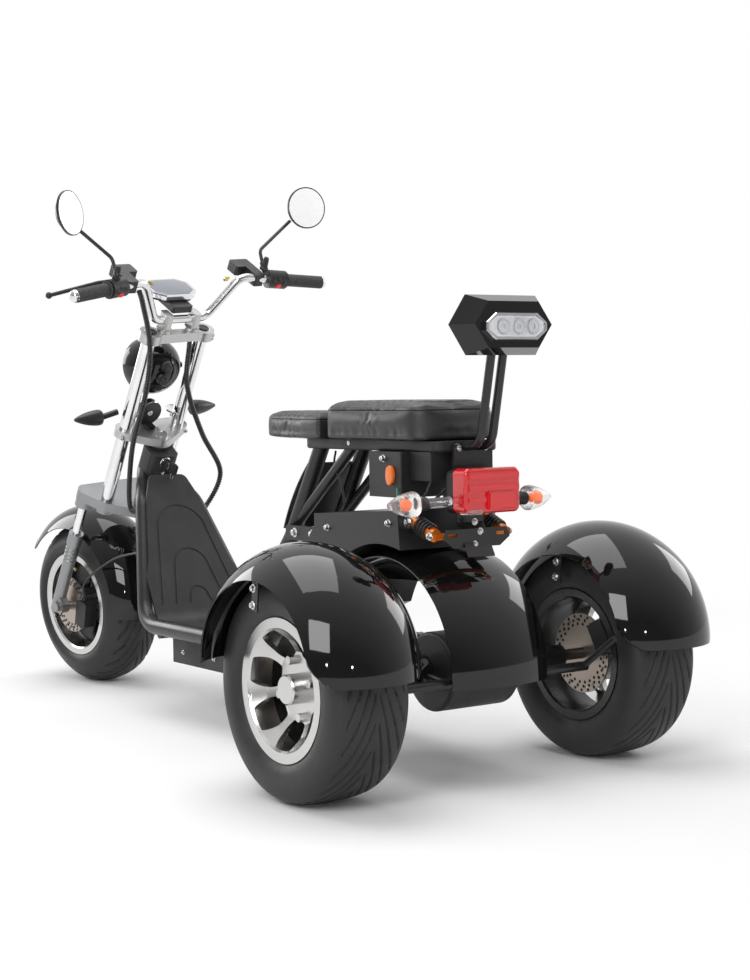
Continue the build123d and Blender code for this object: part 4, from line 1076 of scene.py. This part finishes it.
disc_steel = finish(
    "disc_steel", (0.42, 0.36, 0.31), 0.34, metallic=1.0, grain_scale=600, bump=0.1, dusty=0.05,
)
dress(disc_steel, "front_brake_disc", "rear_left_brake_disc", "rear_right_brake_disc")
# Disc holes: thin dark plugs just proud of each face of the disc, painted shade where real holes would be.
hole_painted_shade = finish("hole_painted_shade", (0.006, 0.006, 0.006), 0.7, grain_scale=900)
perforation, perforation_in, perforation_out = geometry_tree("perforation", Radius=0.0035, Proud=0.0008)
hole_way = layer(perforation, "outward", "FLOAT_VECTOR")
hole_turn = put(perforation, "FunctionNodeAlignRotationToVector", ("Vector", hole_way), axis="Z")
hole_plug = put(
    perforation, "GeometryNodeMeshCylinder", ("Vertices", 12), ("Radius", perforation_in["Radius"]),
    ("Depth", perforation_in["Proud"]),
)
holes_set = put(
    perforation, "GeometryNodeInstanceOnPoints", ("Points", perforation_in["Geometry"]),
    ("Instance", hole_plug.outputs[0]), ("Rotation", hole_turn.outputs[0]),
)
close_tree(perforation, perforation_in, perforation_out, holes_set.outputs[0])
for wheel, size in (("front", 76), ("rear_left", 86), ("rear_right", 86)):
    node = f"{wheel}_brake_disc"
    axle, first, second, hub = about_axle(wheel, node)
    spread_along = [axle.dot(vert.co) for vert in nodes[node].data.vertices]
    holes = []
    for face, way in ((min(spread_along), -1), (max(spread_along), 1)):
        for ring_at, lag in ((0.94, 0.0), (0.84, 0.33), (0.74, 0.66)):
            for k in range(24):
                t = 2 * math.pi * (k + lag) / 24
                spot = hub + (first * math.cos(t) + second * math.sin(t)) * (size * ring_at / 1000)
                holes.append((spot + axle * (face - axle.dot(spot)), axle * way, 1.0))
    grow(f"{node}_holes", sites(holes), perforation, hole_painted_shade, f"{wheel}_wheel", crease=30)

# Fork: chromed tubes held by cast alloy clamps, with grey cast sliders over short chromed legs.
cast_silver = finish(
    "cast_silver", (0.52, 0.52, 0.515), 0.33, metallic=0.9, grain_scale=240, bump=0.18, dusty=0.03,
)
dress(cast_silver, "top_clamp", "steering_stem")
cast_grey = finish(
    "cast_grey", (0.30, 0.305, 0.31), 0.38, metallic=0.85, grain_scale=240, bump=0.2, dusty=0.05,
)
dress(cast_grey, "lower_bracket", "fork_sliders")
dress(chrome, "fork_tubes")
cap = [(0, 15.5), (3.5, 15.5), (5, 14), (5, 9), (4, 8), (4, 1)]
upward = steered_way(0, 0, 1)
lathe("fork_caps", [
    (steered(49, hand * 82, 836), upward, cap, 28) for hand in (1, -1)
], key_rubber, "steering")
collar = [(0, 17.5), (1.5, 18.8), (5, 18.8), (6.5, 17.5)]
lathe("slider_rings", [
    (steered(97, hand * 115, w), upward, collar, 28) for hand in (1, -1) for w in (96, 108, 120, 132)
], cast_grey, "steering")
clamp_bolts = []
for hand in (1, -1):
    for w in (822, 832, 536):
        clamp_bolts.append((steered(27, hand * 101, w - 4), steered_way(-1, 0.2 * hand, 0), 0.0042))
    clamp_bolts.append((steered(88, hand * 40, 912), steered_way(-0.4, 0, 1), 0.006))
fasten("clamp_bolts", clamp_bolts, zinc, "steering")
steer_nut = [(0, 19), (5, 19), (6, 15.5), (15, 15), (19, 12), (21.5, 7), (22, 1)]
lathe("steering_nut", [(steered(0, 0, 547), upward, steer_nut, 36)], chrome, "steering")

# Lamps on the fork: a gloss black headlamp bowl with two rubber cable boots, a round horn with a
# chromed rim, a chromed bell on the right, and bullet indicators.
bowl_black = finish("bowl_black", (0.006, 0.006, 0.0065), 0.09, grain_scale=80, bump=0.01, dusty=0.02)
dress(bowl_black, "headlamp")
matt_bullet = finish("matt_bullet", (0.016, 0.016, 0.017), 0.34, grain_scale=700, bump=0.08)
dress(matt_bullet, "front_indicators", "horn")
rearward = steered_way(-1, 0, 0)
boot = [(0, 15), (8, 14), (10, 11), (18, 10), (22, 7.5), (23, 3)]
lathe("headlamp_boots", [
    (steered(32, v, w), rearward, boot, 28) for v, w in ((20, 742), (24, 704))
], base_rubber, "steering")
lathe("horn_rim", [
    (steered(59, 12, 584), rearward, [(0, 35.5), (5, 35.5), (7, 33.5), (6, 31), (3, 30.5)], 40),
    (steered(59, 12, 584), rearward, [(0, 9), (6, 9), (8, 6.5), (8, 1)], 28),
], silver_rim, "steering")
bell = [(0, 7), (10, 7), (12, 12), (19, 24), (21, 24), (22, 22), (15, 8), (15, 1)]
lathe("bell", [(steered(58, -66, 566), upward, bell, 36)], chrome, "steering")

# Handlebar: a polished tube with ribbed rubber grips that end in silver caps, switch pods with red
# buttons, brake levers with ball ends and their fluid reservoirs.
bar_polish = finish(
    "bar_polish", (0.74, 0.74, 0.745), 0.15, metallic=1.0, grain_scale=500, bump=0.02, dusty=0.01,
)
dress(bar_polish, "handlebar")
pod_black = finish("pod_black", (0.014, 0.014, 0.015), 0.4, grain_scale=900, bump=0.15)
dress(pod_black, "switch_housings", "brake_masters", "mirror_stalks")
grip_rubber = finish("grip_rubber", (0.028, 0.028, 0.030), 0.55, grain_scale=1400, bump=0.3)


def bar_place(hand, share):
    """A place on the outer stretch of the bar."""
    return steered(40 - 52 * share, hand * (150 + 240 * share), 990)


grip_lines = [[bar_place(hand, share) for share in (0.53, 0.965)] for hand in (1, -1)]
grips = grow(
    "ribbed_grips", plain_strand(*grip_lines), ribbed, grip_rubber, "steering", Radius=0.0163, Rib=0.035,
    Pitch=0.0065, Steps=6,
)
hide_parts("grips")
grip_end = [(0, 14), (2, 16), (7, 15), (11, 12), (14, 7.5), (15, 2)]
flange = [(0, 19), (1, 20.5), (4, 20.5), (6, 17)]
grip_ways = {hand: (bar_place(hand, 1) - bar_place(hand, 0)).normalized() for hand in (1, -1)}
lathe("grip_ends", [
    (bar_place(hand, 0.962), way, grip_end, 32) for hand, way in grip_ways.items()
], silver_rim, "steering")
lathe("grip_flanges", [
    (bar_place(hand, 0.522), way, flange, 32) for hand, way in grip_ways.items()
], grip_rubber, "steering")
red_button = finish("red_button", (0.75, 0.02, 0.02), 0.25, grain_scale=700, bump=0.05, dusty=0.0)
button = [(0, 7.5), (3, 7.5), (4.5, 6), (5, 2)]
lever = [(0, 5), (3.5, 5), (4.5, 4), (4.5, 1)]


def on_pod(hand, share, lean, profile, sides):
    """A turned part on the rear of a switch pod, leaning up."""
    way = steered_way(-1, 0, lean)
    return bar_place(hand, share) + way * 0.0225, way, profile, sides


lathe("red_buttons", [on_pod(hand, 0.40, -0.35, button, 24) for hand in (1, -1)], red_button, "steering")
lathe("switch_levers", [
    on_pod(hand, share, lean, lever, 16)
    for hand in (1, -1) for share, lean in ((0.34, 0.25), (0.46, 0.1), (0.40, 0.5))
], key_rubber, "steering")
ball = [(0, 3), (1, 6), (5, 8.3), (9, 8.3), (13, 6), (15, 1)]
lathe("lever_balls", [
    (steered(72, hand * 391, 948), steered_way(0, hand, 0), ball, 24) for hand in (1, -1)
], pod_black, "steering")
brass = finish("brass", (0.62, 0.47, 0.16), 0.24, metallic=1.0, grain_scale=700, bump=0.05)
fitting = [(0, 4.5), (5, 4.5), (6, 6), (10, 6), (11, 4), (17, 3.5), (17.5, 1)]
hose_end = [(0, 4), (6, 4), (7, 3), (12, 3), (12.5, 1)]
lathe("hose_fittings", [
    *[(steered(60, hand * 128, 978), steered_way(-0.3, -hand, -0.2), fitting, 16) for hand in (1, -1)],
    (steered(96, 92, 62), steered_way(-1, 0.2, 0.3), hose_end, 16),
], brass, "steering")

# Instruments and mirrors: an eight-sided display with a bright rim round a blue-grey screen, and two
# round mirrors in black shells.
dress(pod_black, "display")
screen_outline = [(-40, -38), (-40, 38), (-18, 66), (24, 66), (46, 40), (46, -40), (24, -66), (-18, -66)]
bezel = bmesh.new()
bezel_loops = []
for rise, scale in ((6, 1.0), (6, 1.035), (16, 1.035), (19.5, 1.0), (19.5, 0.9), (18.5, 0.89)):
    bezel_loops.append(
        [bezel.verts.new(steered(118 + u * scale, v * scale, 905 + rise)) for u, v in screen_outline]
    )
skin(bezel, bezel_loops)
shape("display_bezel", bezel, silver_rim, "steering", crease=20)
screen_glass = finish(
    "screen_glass", (0.17, 0.18, 0.22), 0.12, grain_scale=400, bump=0.02, dusty=0.03, Coat_Weight=1.0,
)
screen = bmesh.new()
skin(screen, [
    [screen.verts.new(steered(118 + u * s, v * s, 905 + rise)) for u, v in screen_outline]
    for rise, s in ((18.5, 0.9), (20.2, 0.885), (20.6, 0.84))
])
shape("display_screen", screen, screen_glass, "steering", crease=20)
dress(matt_bullet, "mirrors")
# Mirror glass: near-white colour and a white glow, a painted reflection of the bright studio, not a true
# mirror.
mirror_glass = finish(
    "mirror_glass", (0.96, 0.96, 0.97), 0.03, metallic=0.4, grain_scale=60, bump=0.0, dusty=0.0, scuffed=0.02,
    Emission_Strength=0.3, Emission_Color=(1, 1, 1, 1),
)
lenses = []
lens = [(0, 51.5), (1, 51.3), (1.6, 35), (2.0, 12), (2.05, 1)]
for hand, toe in ((1, 30), (-1, 15)):
    tip = Matrix.Rotation(math.radians(hand * toe), 3, "Z") @ (
        Matrix.Rotation(math.radians(31.55), 3, "Y") @ Vector((-1, 0, 0))
    )
    facing_way = steered_way(*tip)
    lenses.append((steered(112, hand * 367, 1148) + facing_way * 0.0055, facing_way, lens, 56))
lathe("mirror_glass", lenses, mirror_glass, "steering", crease=60)
mirror_boot = [(0, 11), (6, 11), (9, 8.5), (28, 7.5), (34, 6), (35, 2)]
lathe("mirror_boots", [
    (bar_place(hand, share) + steered_way(0.28, 0, 1) * 0.024, steered_way(0.05, 0, 1), mirror_boot, 24)
    for hand, share in ((1, 0.42), (-1, 0.2625))
], base_rubber, "steering")

# Cables: two ribbed conduits and the front brake hose, set in the parked pose on no body. They leave the bar
# above and go into the neck below.
conduit_black = finish("conduit_black", (0.012, 0.012, 0.013), 0.28, grain_scale=900, bump=0.05, dusty=0.03)
conduit_routes = [
    [
        (30, 168, 971), (25, 150, 935), (15, 103, 820), (0, 88, 690), (-8, 90, 520), (-28, 64, 352),
        (-104, 84, 388),
    ],
    [
        (36, -38, 810), (8, -47, 690), (-12, -124, 548), (-32, -210, 425), (-42, -186, 325),
        (-104, -102, 384),
    ],
]
hose_route = [
    (18, 92, 7.4), (30, 98, 55), (-9, 105, 127), (-71, 102, 214), (-132, 96, 272), (-190, 106, 318),
]
conduits = grow(
    "ribbed_conduits", strand(*[[steered(*place) for place in route] for route in conduit_routes]),
    ribbed, conduit_black, None, Radius=0.0066, Rib=0.13, Pitch=0.0072, Steps=6, crease=60,
)
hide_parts("control_conduits")
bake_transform(conduits)
hose = grow(
    "brake_hose", strand([steered(*place) for place in hose_route]), ribbed, wire_black, None,
    Radius=0.003, Rib=0.0, Pitch=0.006, Steps=1,
)
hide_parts("front_brake_hose")
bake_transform(hose)
